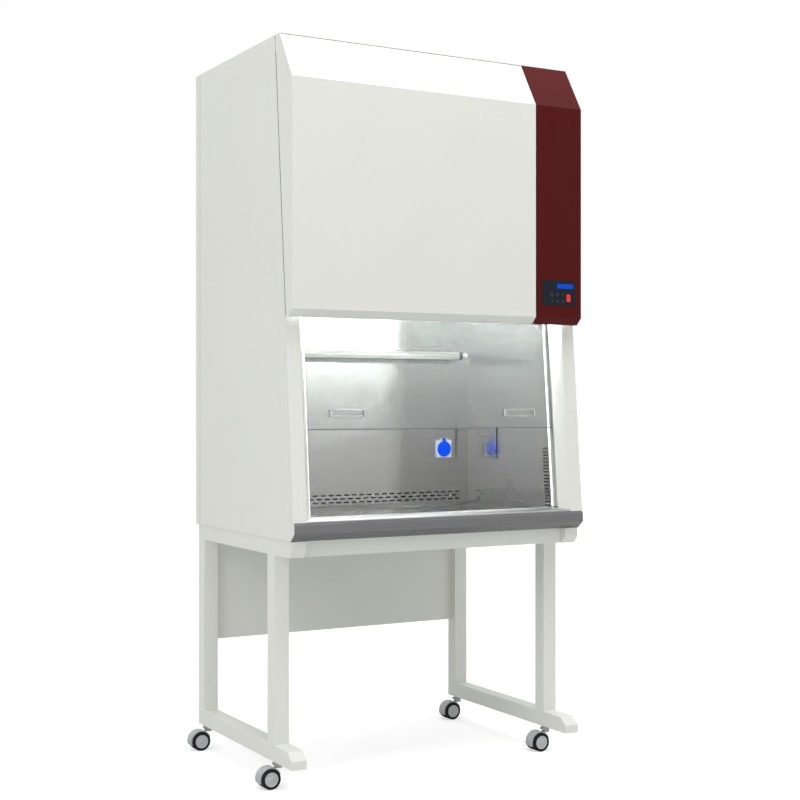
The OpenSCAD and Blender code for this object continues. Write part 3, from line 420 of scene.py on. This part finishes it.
# Stainless steel
# Sheet brushed along its length: armrest, grille, work surface and the chamber's walls. The
# brushing runs level, so what the walls mirror is drawn out upwards and downwards.
def brushed(name, per_metre, light, dark, rough, spread, metal=1.0, relief=0.6, foot=None, sheen_above=None):
    """Steel with brush lines: noise drawn out along the brushing sets shade, gloss and relief. The
    less metal, the more of the light that falls on the lines is scattered. Where foot is given,
    the steel is painted darker towards the bottom, down to that height: painted shade. Where a sheen
    height is given, it is lighter and duller above it, most of all on the left: a painted sheen."""
    line_depth, low_shade_h, low_shade_share, brow_h = 0.000012, 0.4, 0.2, 0.003
    sheen_left, sheen_right, sheen_share = -0.3, 0.5, 0.35
    made, w = new_finish(name)
    lines = w.grain(tuple(5 * n for n in per_metre), 2.0)
    bands = w.grain(per_metre, 1.0)
    stain = w.grain((2.5, 2.5, 2.5), 2.0)
    shade = w.blend(lines * 0.4 + bands * 0.45 + stain * 0.15, dull(dark), dull(light))
    gloss = rough + (bands * 0.6 + lines * 0.4) * spread
    # Painted shade: the steel turns darker towards the bottom, down to the foot height.
    if foot:
        low_shade = w.add("MapRange", {}, {"Value": w.place(2), "From Min": foot, "From Max": foot + low_shade_h,
                                      "To Min": low_shade_share, "To Max": 0.0})
        shade = w.blend(low_shade, shade, dull((60, 60, 60)))
    # Painted sheen: lighter, duller and less metallic steel above the given height, strongest on the left.
    if sheen_above:
        above = w.add("MapRange", {}, {"Value": w.place(2), "From Min": sheen_above - brow_h, "From Max": sheen_above})
        painted_top_sheen = above * w.add("MapRange", {}, {"Value": w.place(0), "From Min": sheen_left,
                                                "From Max": sheen_right, "To Min": 1.0, "To Max": sheen_share})
        shade = w.blend(painted_top_sheen, shade, dull((252, 252, 252)))
        gloss = gloss + painted_top_sheen * 0.25
        metal = metal - painted_top_sheen * 0.75
    close_finish(w, {
        "Base Color": shade, "Metallic": metal, "Roughness": gloss,
        "Anisotropic": 1.0, "Anisotropic Rotation": 0.25,
        "Normal": w.bump(lines, line_depth, relief)})
    return made


along_x, along_y = (1.2, 230, 230), (230, 1.2, 230)
floor_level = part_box("work_surface")[1][2]
# The back and side walls' steel is painted darker towards the chamber floor: painted shade.
steel_x = brushed("stainless_brushed_level", along_x, (214, 214, 213), (170, 170, 168), 0.12, 0.20,
                  metal=0.9, foot=floor_level)
steel_floor = brushed("stainless_brushed_floor", along_x, (206, 206, 205), (172, 172, 170), 0.12, 0.20)
steel_y = brushed("stainless_brushed_deep", along_y, (212, 212, 211), (190, 190, 188), 0.06, 0.08,
                  metal=0.72, relief=0.2, foot=floor_level)
# The grille's near-white, half-metal steel is a painted reflection of the work lamp.
steel_painted_sheen = brushed("stainless_painted_sheen", (1.2, 60, 60), (253, 253, 253), (244, 244, 244), 0.5, 0.06,
                       metal=0.35)
dress(steel_x, "back_wall", "ceiling_diffuser")
dress(steel_floor, "work_surface")
dress(steel_painted_sheen, "front_grille")
dress(steel_y, "left_inner_wall", "right_inner_wall")
rest_slope_h = 0.0085
rest_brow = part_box("armrest")[1][2] - rest_slope_h
# The armrest's top edge carries a painted sheen: near-white, duller steel, brightest on the left.
steel_rest = brushed("stainless_armrest", (1.2, 260, 260), (132, 132, 133), (116, 116, 118), 0.18, 0.2,
                     sheen_above=rest_brow)
eased("armrest", steel_rest, 0.0004)


# Service plate
# A square steel cover over the services' opening in the right wall. It is screwed down at its
# corners on a black rubber gasket that shows as a dark line round its edge.
gasket_black = speckled("gasket_black", 600, (22, 22, 24), (36, 36, 38), 0.7, 0.2, relief=0.0001)
screw_steel = speckled("screw_steel", 1200, (190, 190, 190), (222, 222, 222), 0.22, 0.14, metal=1.0)
low, high = (np.array(c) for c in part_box("service_plate"))
plate_side, corner_r, face_t, rim_w = high[1] - low[1], 0.002, 0.0010, 0.0006
screw_in, head_h, head_r, head_sink = 0.009, 0.0009, 0.0032, 0.0004
middle = (low + high) / 2


def slab(x0, x1, side):
    """A square plate with round corners between two distances along x, as a closed strip."""
    return swept(round_outline(side, side, corner_r), (x0, *middle[1:]), (x1, *middle[1:]))


gasket = piece("service_gasket", [slab(low[0] + face_t, high[0], plate_side)], gasket_black,
               body_of("service_plate"), smooth=False)
cover = piece("service_cover", [slab(low[0], low[0] + face_t, plate_side - 2 * rim_w)], steel_y,
              body_of("service_plate"), smooth=False)
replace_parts(cover, "service_plate")
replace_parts(gasket, "service_plate")


def screw_head(centre, along):
    """A pan head: a quarter of an ellipse turned about its axis, with a round drive hole."""
    a = np.linspace(0, 1.25, 6)
    dome = zip(head_h * np.sin(a), head_r * np.cos(a))
    hole = [(head_h, head_r * 0.32), (head_h * 0.3, head_r * 0.26), (head_h * 0.3, 0)]
    return turned([(-head_sink, 0), (-head_sink, head_r), *dome, *hole], centre, along, 20)


reach = plate_side / 2 - screw_in
seats = [(low[0] + head_h, middle[1] + a * reach, middle[2] + b * reach) for a in (-1, 1) for b in (-1, 1)]
piece("service_screws", [screw_head(seat, (-1, 0, 0)) for seat in seats], screw_steel,
      body_of("service_plate"))


# Zinc-plated parts
# Folded galvanised sheet that stays hidden in use: the base pan under the work surface, and the
# plenum box that holds the fan and takes its air in through its rear plate.
zinc, w = new_finish("zinc_plate")
flake = w.grain((60, 60, 60), 1.0)
fine = w.grain((900, 900, 900), 2.0)
close_finish(w, {
    "Base Color": w.blend(flake, dull((176, 178, 180)), dull((206, 208, 210))),
    "Metallic": 0.9, "Roughness": 0.32 + flake * 0.14, "Normal": w.bump(fine, 0.00003)})
dress(zinc, "base_pan", "plenum_box")


# Sash
# A pane of clear laminated glass with a ground edge, two satin aluminium finger pulls bonded to its
# face and a clamp rail along its top. Its two white tracks glow with painted lamp light, brightest at
# the top. The right one shows plain paint, apart from a glowing lip at its rear.
glass, w = new_finish("clear_glass")
smear = w.grain((6, 6, 6), 3.0)
clear = w.add("BsdfTransparent", {}, {"Color": (0.972, 0.98, 0.976, 1)})
gloss = w.add("BsdfPrincipled", {}, {"Base Color": (0.55, 0.6, 0.6, 1), "Roughness": 0.02 + smear * 0.03,
                                     "Metallic": 0.0})
let_through = 1.0 - w.add("LightPath", {}, {}, "Is Shadow Ray")
w.add("OutputMaterial", {}, {"Surface": w.add("MixShader", {}, {
    0: (0.02 + 0.9 * w.add("Fresnel", {}, {"IOR": 1.45})) * let_through, 1: clear, 2: gloss})})
dress(glass, "sash_glass")
ground = speckled("ground_glass_edge", 900, (84, 98, 94), (104, 118, 112), 0.35, 0.2)
front_lean = math.radians(5.1)
lean_sin, lean_cos = math.sin(front_lean), math.cos(front_lean)
pane_t, edge_h, edge_r, edge_proud = 0.006, 0.0022, 0.0005, 0.00005
low, high = (np.array(c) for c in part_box("sash_glass"))
edge_mid = (low[1] + (pane_t * lean_cos + edge_h * lean_sin) / 2,
            low[2] + (pane_t * lean_sin + edge_h * lean_cos) / 2)
edge = swept(round_outline(pane_t + 2 * edge_proud, edge_h, edge_r), (low[0] + edge_r, *edge_mid),
             (high[0] - edge_r, *edge_mid), (0, lean_sin, lean_cos))
piece("sash_edge", [edge], ground, body_of("sash_glass"))
satin, w = new_finish("satin_aluminium")
fine = w.grain((40, 900, 900), 3.0)
close_finish(w, {
    "Base Color": w.blend(fine, dull((196, 198, 198)), dull((216, 218, 218))),
    "Metallic": 1.0, "Roughness": 0.42 + fine * 0.12, "Normal": w.bump(fine, 0.00001)})
eased("sash_handles", satin, 0.0008, 3)
dress(satin, "sash_carrier")
jamb_white_painted_glow, w = new_finish("jamb_white_painted_glow")
fine = w.grain((600, 600, 600), 2.0)
guide_low, guide_high = (np.array(c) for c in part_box("sash_guides"))
lip_d, dim_z, full_z = 0.010, 0.8, 1.45
guide_y, guide_z = (guide_high - guide_low)[1:]
jamb_d = (guide_y - guide_z * lean_sin / lean_cos) / (lean_cos - lean_sin ** 2 / lean_cos)
across, depth, height = (w.place(k) for k in range(3))
behind_front = (depth - guide_low[1]) * lean_cos - (height - guide_low[2] - jamb_d * lean_sin) * lean_sin
painted = (w.math("GREATER_THAN", across, (guide_low[0] + guide_high[0]) / 2)
           * w.math("LESS_THAN", behind_front, jamb_d - lip_d))
# Painted lamp light: the tracks glow and are whiter than the paint, more so towards the top; the right
# track's front part is plain paint.
painted_glow_height = w.add("MapRange", {"interpolation_type": "SMOOTHSTEP"}, {
    "Value": height, "From Min": dim_z, "From Max": full_z})
painted_lamp_glow = w.blend(painted_glow_height, (0.6, 0.6, 0.595, 1), (1.0, 1.0, 0.99, 1))
close_finish(w, {
    "Base Color": w.blend(painted, w.blend(fine, dull((244, 246, 245)), dull((251, 252, 252))),
                          dull((208, 210, 203))),
    "Roughness": 0.35 + fine * 0.1, "Coat Weight": 0.2,
    "Emission Color": w.blend(painted, painted_lamp_glow, (0.0, 0.0, 0.0, 1)),
    "Emission Strength": 1.7})
dress(jamb_white_painted_glow, "sash_guides")


# Cables, pulleys and weights
# Two steel wire ropes carry the sash: each goes up from the clamp rail, over a pulley on the cross
# shaft and down to a steel weight. The straight runs are built at their length with the sash at rest.
cable, w = new_finish("steel_cable")
twist = w.add("TexWave", {"wave_type": "BANDS", "bands_direction": "DIAGONAL"}, {
    "Vector": w.add("TexCoord", {}, {}, "Object"), "Scale": 300.0, "Distortion": 0.5})
close_finish(w, {
    "Base Color": w.blend(twist, dull((110, 112, 116)), dull((176, 178, 182))),
    "Metallic": 0.9, "Roughness": 0.35, "Normal": w.bump(twist, 0.0002)})
dress(cable, "counterweight_cables")


def cable_round(x, path, radius, sides=12):
    """A round cable along (y, z) points at x: point = path + radius * (cos a * x + sin a * n), where
    n is the path's normal, the mean of its neighbours' at each point. Fans close both ends."""
    step = np.gradient(path, axis=0)
    n = np.stack([-step[:, 1], step[:, 0]], 1) / np.linalg.norm(step, axis=1)[:, None]
    a = np.linspace(0, 2 * np.pi, sides + 1)
    a[-1] = 0
    sideways = np.broadcast_to(x + radius * np.cos(a)[None, :, None], (len(path), sides + 1, 1))
    rings = np.concatenate([sideways, path[:, None] + radius * np.sin(a)[None, :, None] * n[:, None]], -1)
    ends = [np.broadcast_to((x, *path[k]), (1, sides + 1, 3)) for k in (0, -1)]
    return np.concatenate([ends[0], rings, ends[1]])


cable_low, cable_high = (np.array(c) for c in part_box("sash_cables"))
drum = np.mean(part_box("pulley_shaft"), axis=0)[1:]
cable_r = (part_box("counterweight_cables")[1][1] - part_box("counterweight_cables")[0][1]) / 2
pulley_r = cable_high[2] - drum[1] - cable_r
slope = np.array((lean_sin, lean_cos))
leaves = drum + pulley_r * np.array((-lean_cos, lean_sin))
run_l = (leaves[1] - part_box("sash_carrier")[1][2]) / lean_cos
turn = np.linspace(0, math.pi - front_lean, 33)
over = drum + pulley_r * np.stack([np.cos(turn), np.sin(turn)], 1)
xs = (cable_low[0] + cable_r, cable_high[0] - cable_r)
arcs = piece("sash_cable_arcs", [cable_round(x, over, cable_r) for x in xs], cable,
             body_of("sash_cables"))
straight = leaves - np.linspace(0, run_l, 41)[:, None] * slope
runs = piece("sash_cable_runs", [cable_round(x, straight, cable_r) for x in xs], cable,
             body_of("sash_cables"))
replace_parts(arcs, "sash_cables")
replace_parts(runs, "sash_cables")
travel = next(j["range_m"][1] for j in frame["record"]["behaviour"]["joints"] if j["name"] == "sash_slide")
(run_l - travel) / run_l
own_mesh(runs)
mill, w = new_finish("mill_steel")
scale = w.grain((30, 30, 12), 4.0)
close_finish(w, {
    "Base Color": w.blend(scale, dull((96, 98, 104)), dull((132, 134, 138))),
    "Metallic": 0.8, "Roughness": 0.42 + scale * 0.2, "Normal": w.bump(scale, 0.0002)})
dress(mill, "counterweights", "pulley_shaft")
dress(satin, "shaft_bearings")


# Lamps
# The work lamp is an enamelled batten behind the hood with one lit tube. The ultraviolet lamp is
# an unlit glass tube across the back wall, between black end caps and bright spring holders.
enamel, w = new_finish("white_enamel")
fine = w.grain((500, 500, 500), 2.0)
close_finish(w, {
    "Base Color": w.blend(fine, (0.80, 0.80, 0.79, 1), (0.86, 0.86, 0.85, 1)),
    "Roughness": 0.3 + fine * 0.1, "Coat Weight": 0.2})
lit, w = new_finish("lit_tube")
tint = w.grain((3, 3, 3), 1.0)
close_finish(w, {
    "Base Color": w.blend(tint, (0.88, 0.88, 0.88, 1), (0.92, 0.92, 0.92, 1)), "Roughness": 0.3,
    "Emission Color": w.blend(tint, (0.96, 0.98, 1.0, 1), (0.99, 1.0, 1.0, 1)),
    "Emission Strength": 77.0})
low, high = (np.array(c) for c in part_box("work_lamp"))
sheet_t, sheet_in, lip_h, lamp_d = 0.0012, 0.001, 0.008, 0.0337
end_block, end_r = 0.042, 0.003
along = np.array((0, lean_sin, lean_cos))
back = np.array((0, lean_cos, -lean_sin))
lamp_h = (high[2] - low[2] - lamp_d * lean_sin) / lean_cos
foot = np.array((0, low[1], low[2] + lamp_d * lean_sin))


def lamp_points(x, s, t):
    """Points of the lamp: x across, s behind its front sheet and t up the slope from its foot, so
    that point = foot + x * (1, 0, 0) + s * back + t * along."""
    x, s, t = (v[..., None] for v in np.broadcast_arrays(x, s, t))
    return foot + x * (1, 0, 0) + s * back + t * along


def folded_sheet(points, x0, x1, thick):
    """A sheet folded along (s, t) points and carried from x0 to x1: the points, then the same
    points set off by the thickness, joined into one closed strip with its ends filled."""
    p = np.array(points, float)
    step = np.diff(p, axis=0)
    normal = np.stack([-step[:, 1], step[:, 0]], 1) / np.linalg.norm(step, axis=1)[:, None]
    joint = np.concatenate([normal[:1], normal[:-1] + normal[1:], normal[-1:]])
    joint[1:-1] /= (1 + (normal[:-1] * normal[1:]).sum(1))[:, None]
    both = np.stack([p, p + thick * joint])
    box = lamp_points(np.array((x0, x1))[:, None, None], both[None, :, :, 0], both[None, :, :, 1])
    return [box[:, 0], box[:, 1], box[0], box[1], box[:, :, 0], box[:, :, -1]]


grids = folded_sheet([(0, 0), (0, lamp_h), (lamp_d, lamp_h), (lamp_d, lamp_h - lip_h)],
                     low[0] + sheet_in, high[0] - sheet_in, -sheet_t)
for end, way in ((low[0], 1), (high[0], -1)):
    ends = lamp_points(np.array((end, end + way * end_block)), lamp_d / 2, lamp_h / 2)
    grids.append(swept(round_outline(lamp_d, lamp_h, end_r), *ends, along))
batten = piece("work_lamp_housing", grids, enamel, "cabinet")
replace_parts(batten, "work_lamp")
tube_r, tube_up, tube_round = 0.013, 0.014, 0.004
tube_l = high[0] - low[0] - 2 * end_block
tube_profile = [(0, 0), (0, tube_r / 2), (tube_round, tube_r), (tube_l - tube_round, tube_r),
                (tube_l, tube_r / 2), (tube_l, 0)]
tube_from = lamp_points(low[0] + end_block, lamp_d / 2, tube_r + tube_up)
piece("work_lamp_tube", [turned(tube_profile, tube_from, (1, 0, 0), 32)], lit, "cabinet")
tube, w = new_finish("lamp_glass")
smear = w.grain((8, 30, 30), 2.0)
facing = w.add("LayerWeight", {}, {"Blend": 0.5}, "Facing")
# Painted highlight: the tube's base colour turns white towards its outline.
painted_rim_highlight = w.add("MapRange", {"interpolation_type": "SMOOTHSTEP"}, {
    "Value": facing, "From Min": 0.22, "From Max": 0.5})
body = w.blend(smear, dull((176, 178, 170)), dull((196, 198, 190)))
close_finish(w, {
    "Base Color": w.blend(painted_rim_highlight, body, dull((255, 255, 255))),
    "Roughness": 0.05 + smear * 0.05, "Coat Weight": 1.0, "Coat Roughness": 0.03})
dress(tube, "uv_lamp_tube")
bright = speckled("bright_plate", 300, (226, 228, 230), (244, 245, 246), 0.18, 0.12, detail=3.0, metal=0.5)
cap_black = speckled("lamp_cap_black", 700, (26, 27, 28), (40, 41, 42), 0.35, 0.15)
low, high = (np.array(c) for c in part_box("uv_lamp_holders"))
tube_low, tube_high = (np.array(c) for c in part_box("uv_lamp_tube"))
lamp_r = (tube_high[2] - tube_low[2]) / 2
axis_y, axis_z = (tube_low[1] + tube_high[1]) / 2, (tube_low[2] + tube_high[2]) / 2
black_l, bright_l = 0.010, 0.0235
cap_r, body_r, waist_r = lamp_r + 0.001, lamp_r - 0.003, lamp_r - 0.0045
cap_profile = [(-0.002, 0), (-0.002, cap_r - 0.0004), (0, cap_r), (black_l - 0.001, cap_r),
               (black_l, lamp_r), (black_l, 0)]
socket_profile = np.array([(0, 0), (0, body_r - 0.001), (0.001, body_r), (0.006, body_r), (0.007, waist_r),
                           (0.014, waist_r), (0.015, body_r), (bright_l - 0.002, body_r),
                           (bright_l, body_r - 0.003), (bright_l, 0)]) + (black_l, 0)
arm_in, arm_outline = 0.008, round_outline(0.012, 2 * lamp_r - 0.007, 0.003)
pad_t, pad_outline = 0.002, round_outline(0.0155, 2 * lamp_r - 0.006, 0.004)
caps, sockets, arms = [], [], []
for tube_end, way in ((tube_low[0], -1), (tube_high[0], 1)):
    centre = (tube_end, axis_y, axis_z)
    caps.append(turned(cap_profile, centre, (way, 0, 0), 40))
    sockets.append(turned(socket_profile, centre, (way, 0, 0), 40))
    arm_x = tube_end + way * (black_l + bright_l - arm_in)
    on_axis, at_pad, at_wall = ((arm_x, y, axis_z) for y in (axis_y, high[1] - pad_t, high[1]))
    arms += [swept(arm_outline, on_axis, at_pad), swept(pad_outline, at_pad, at_wall)]
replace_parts(piece("uv_lamp_caps", caps, cap_black, "cabinet"), "uv_lamp_holders")
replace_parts(piece("uv_lamp_sockets", sockets + arms, bright, "cabinet"), "uv_lamp_holders")


# Socket
# A white moulded frame on the back wall, with a blue flap over its mouth. The flap hinges on a pin
# between the frame's two lugs.
socket_white = speckled("socket_white", 800, (226, 232, 246), (236, 240, 250), 0.3, 0.1, coat=0.3)
socket_blue = speckled("socket_blue", 800, (0, 78, 255), (0, 90, 255), 0.3, 0.1, specular=0.2)
eased("socket_frame", socket_white, 0.001, 3)
eased("socket_flap", socket_blue, 0.0008, 3)


# Filters and fan
# Two pleated glass-paper filters, one for the air that is blown down into the chamber and one for
# the air that leaves. The fan has a black painted motor and an aluminium impeller.
paper, w = new_finish("filter_paper")
fibre = w.grain((1500, 1500, 400), 3.0)
close_finish(w, {
    "Base Color": w.blend(fibre, dull((226, 226, 220)), dull((242, 242, 238))),
    "Roughness": 0.85 + fibre * 0.1, "Normal": w.bump(fibre, 0.0001)})
dress(paper, "supply_filter", "exhaust_filter")
motor_black = speckled("motor_black", 500, (40, 42, 46), (54, 56, 60), 0.45, 0.15, relief=0.0001)
dress(motor_black, "fan_motor")
dress(satin, "fan_impeller")


# Hood seals
# A black rubber strip stands in the open seam on each side, stuck to the post, and a thin grey
# strip is pushed over the top edge of the hood.
seal_black = speckled("seal_black", 400, (18, 18, 19), (30, 30, 31), 0.7, 0.2, relief=0.0001)
trim_grey = speckled("trim_grey", 400, (104, 104, 102), (122, 122, 120), 0.6, 0.2, relief=0.0001)
post_low = np.array(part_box("left_front_post")[0])
hood_low, hood_high = (np.array(c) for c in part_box("hood_cover"))
seam_gap, seal_w, seal_d, seal_in, seal_r = 0.004, 0.0030, 0.009, 0.0003, 0.0005
off_post, above_foot, below_top = 0.0004, 0.006, 0.05
slope_y = (hood_high[1] + seam_gap - post_low[1]) / (hood_high[2] - post_low[2])
for side, wall, way in (("left", post_low[0], 1), ("right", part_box("right_front_post")[1][0], -1)):
    x = wall + (seal_in + seal_d / 2) * way
    ends = [(x, post_low[1] + slope_y * (z - post_low[2]) - off_post - seal_w / 2, z)
            for z in (hood_low[2] + above_foot, hood_high[2] - below_top)]
    piece(side + "_hood_seal", [swept(round_outline(seal_w, seal_d, seal_r), *ends, up=(1, 0, 0))],
          seal_black, "cabinet")
trim_h, trim_t, trim_in, trim_r = 0.0035, 0.0008, 0.001, 0.0003
hood_slope_h, hood_slope_d = 0.145, 0.088
slope_angle = math.atan2(hood_slope_h, hood_slope_d)
up_slope = np.array((0, math.cos(slope_angle), math.sin(slope_angle)))
hood_brow = np.array((0, hood_low[1] + hood_slope_d, hood_high[2])) - up_slope * (trim_h / 2 + trim_in)
ends = [hood_brow + (x, 0, 0) for x in (hood_low[0] + trim_in, hood_high[0] - trim_in)]
piece("hood_trim", [swept(round_outline(trim_t, trim_h, trim_r), *ends, up=up_slope)], trim_grey,
      "hood")


# Rear joint seals and tube caps
# A black sealing strip fills the joint between each side panel and the rear panel. Grey plastic
# caps close the open ends of the stand's tubes.
panel_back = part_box("left_side_panel")[1][1]
rear_low, rear_high = (np.array(c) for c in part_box("rear_panel"))
strip_d, strip_r, strip_play, end_in = 0.004, 0.0004, 0.0001, 0.003
strip_w = rear_low[1] - panel_back - strip_play
for side, edge_x, way in (("left", rear_low[0], 1), ("right", rear_high[0], -1)):
    x, y = edge_x + way * (seal_in + strip_d / 2), (rear_low[1] + panel_back) / 2
    ends = [(x, y, z) for z in (rear_low[2] + end_in, rear_high[2] - end_in)]
    piece(side + "_rear_seal", [swept(round_outline(strip_d, strip_w, strip_r), *ends, up=(0, 1, 0))],
          seal_black, "cabinet")
tube_side, wall_t, cap_play, cap_t, cap_in, cap_round = 0.050, 0.0025, 0.0006, 0.006, 0.0005, 0.004
cap_side = tube_side - 2 * wall_t - cap_play
cap_grey = speckled("cap_grey", 800, (168, 170, 168), (184, 186, 184), 0.45, 0.15, relief=0.00005)
for side in ("left", "right"):
    low, high = (np.array(c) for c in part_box(side + "_side_frame"))
    x = (low[0] + high[0]) / 2
    caps = [swept(round_outline(cap_side, cap_side, cap_round), (x, high[1] - cap_t, z),
                  (x, high[1] - cap_in, z)) for z in (high[2] - tube_side / 2, low[2] + tube_side / 2)]
    piece(side + "_tube_caps", caps, cap_grey, "cabinet")


# Mains inlet
# A black moulded appliance inlet with three flat pins, fixed behind a cut-out high in the rear
# panel.
black_plastic = speckled("black_plastic", 900, (26, 26, 28), (36, 36, 38), 0.45, 0.12, relief=0.00005)
dress(black_plastic, "power_inlet")


# Casters
# Twin-wheel casters on bright steel stems: a moulded grey hood over two wheels with grey hubs and
# soft black tyres.
caster_grey = speckled("caster_grey", 700, (172, 174, 176), (186, 188, 190), 0.42, 0.12, relief=0.00006)
rubber = speckled("black_rubber", 400, (13, 13, 14), (22, 22, 23), 0.6, 0.2, relief=0.00015, detail=3.0,
                  specular=0.25)
hub_grey = speckled("hub_grey", 500, (186, 188, 190), (200, 202, 204), 0.4, 0.12)
dress(bright, "caster_stems")
tyre_band, inner, crown, hub_dish = 0.0085, 0.0042, 0.004, 0.0022
axle_r, axle_half = 0.004, inner + 0.001
axle_profile = [(-axle_half, 0), (-axle_half, axle_r), (axle_half, axle_r), (axle_half, 0)]
quarter = np.linspace(0, np.pi / 2, 6)
for corner in ("front_left", "front_right", "rear_left", "rear_right"):
    eased(corner + "_fork", caster_grey, 0.0008, 3)
    name = corner + "_wheels"
    low, high = (np.array(c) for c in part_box(name))
    centre, radius, half = (low + high) / 2, (high[2] - low[2]) / 2, (high[1] - low[1]) / 2
    rim_r = radius - tyre_band
    shoulder = zip(half - crown + crown * np.sin(quarter), radius - crown + crown * np.cos(quarter))
    tyre_profile = [(inner, rim_r - 0.003), (inner, radius - 0.003), (inner + 0.003, radius), *shoulder,
                    (half, rim_r + 0.0012), (half - 0.0015, rim_r), (half - 0.0035, rim_r - 0.003)]
    hub_profile = [(inner, 0), (inner, rim_r), (half - 0.0016, rim_r), (half - 0.0008, rim_r - 0.0008),
                   (half - 0.0008, rim_r - 0.0025), (half - hub_dish, rim_r - 0.0045),
                   (half - hub_dish, 0.0085), (half - 0.0006, 0.0070), (half - 0.0002, 0.0055),
                   (half - 0.0002, 0)]
    tyres = [turned(tyre_profile, centre, (0, side, 0), 64) for side in (-1, 1)]
    hubs = [turned(hub_profile, centre, (0, side, 0), 48) for side in (-1, 1)]
    hubs.append(turned(axle_profile, centre, (0, 1, 0), 24))
    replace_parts(piece(corner + "_tyres", tyres, rubber, body_of(name)), name)
    piece(corner + "_hubs", hubs, hub_grey, body_of(name))
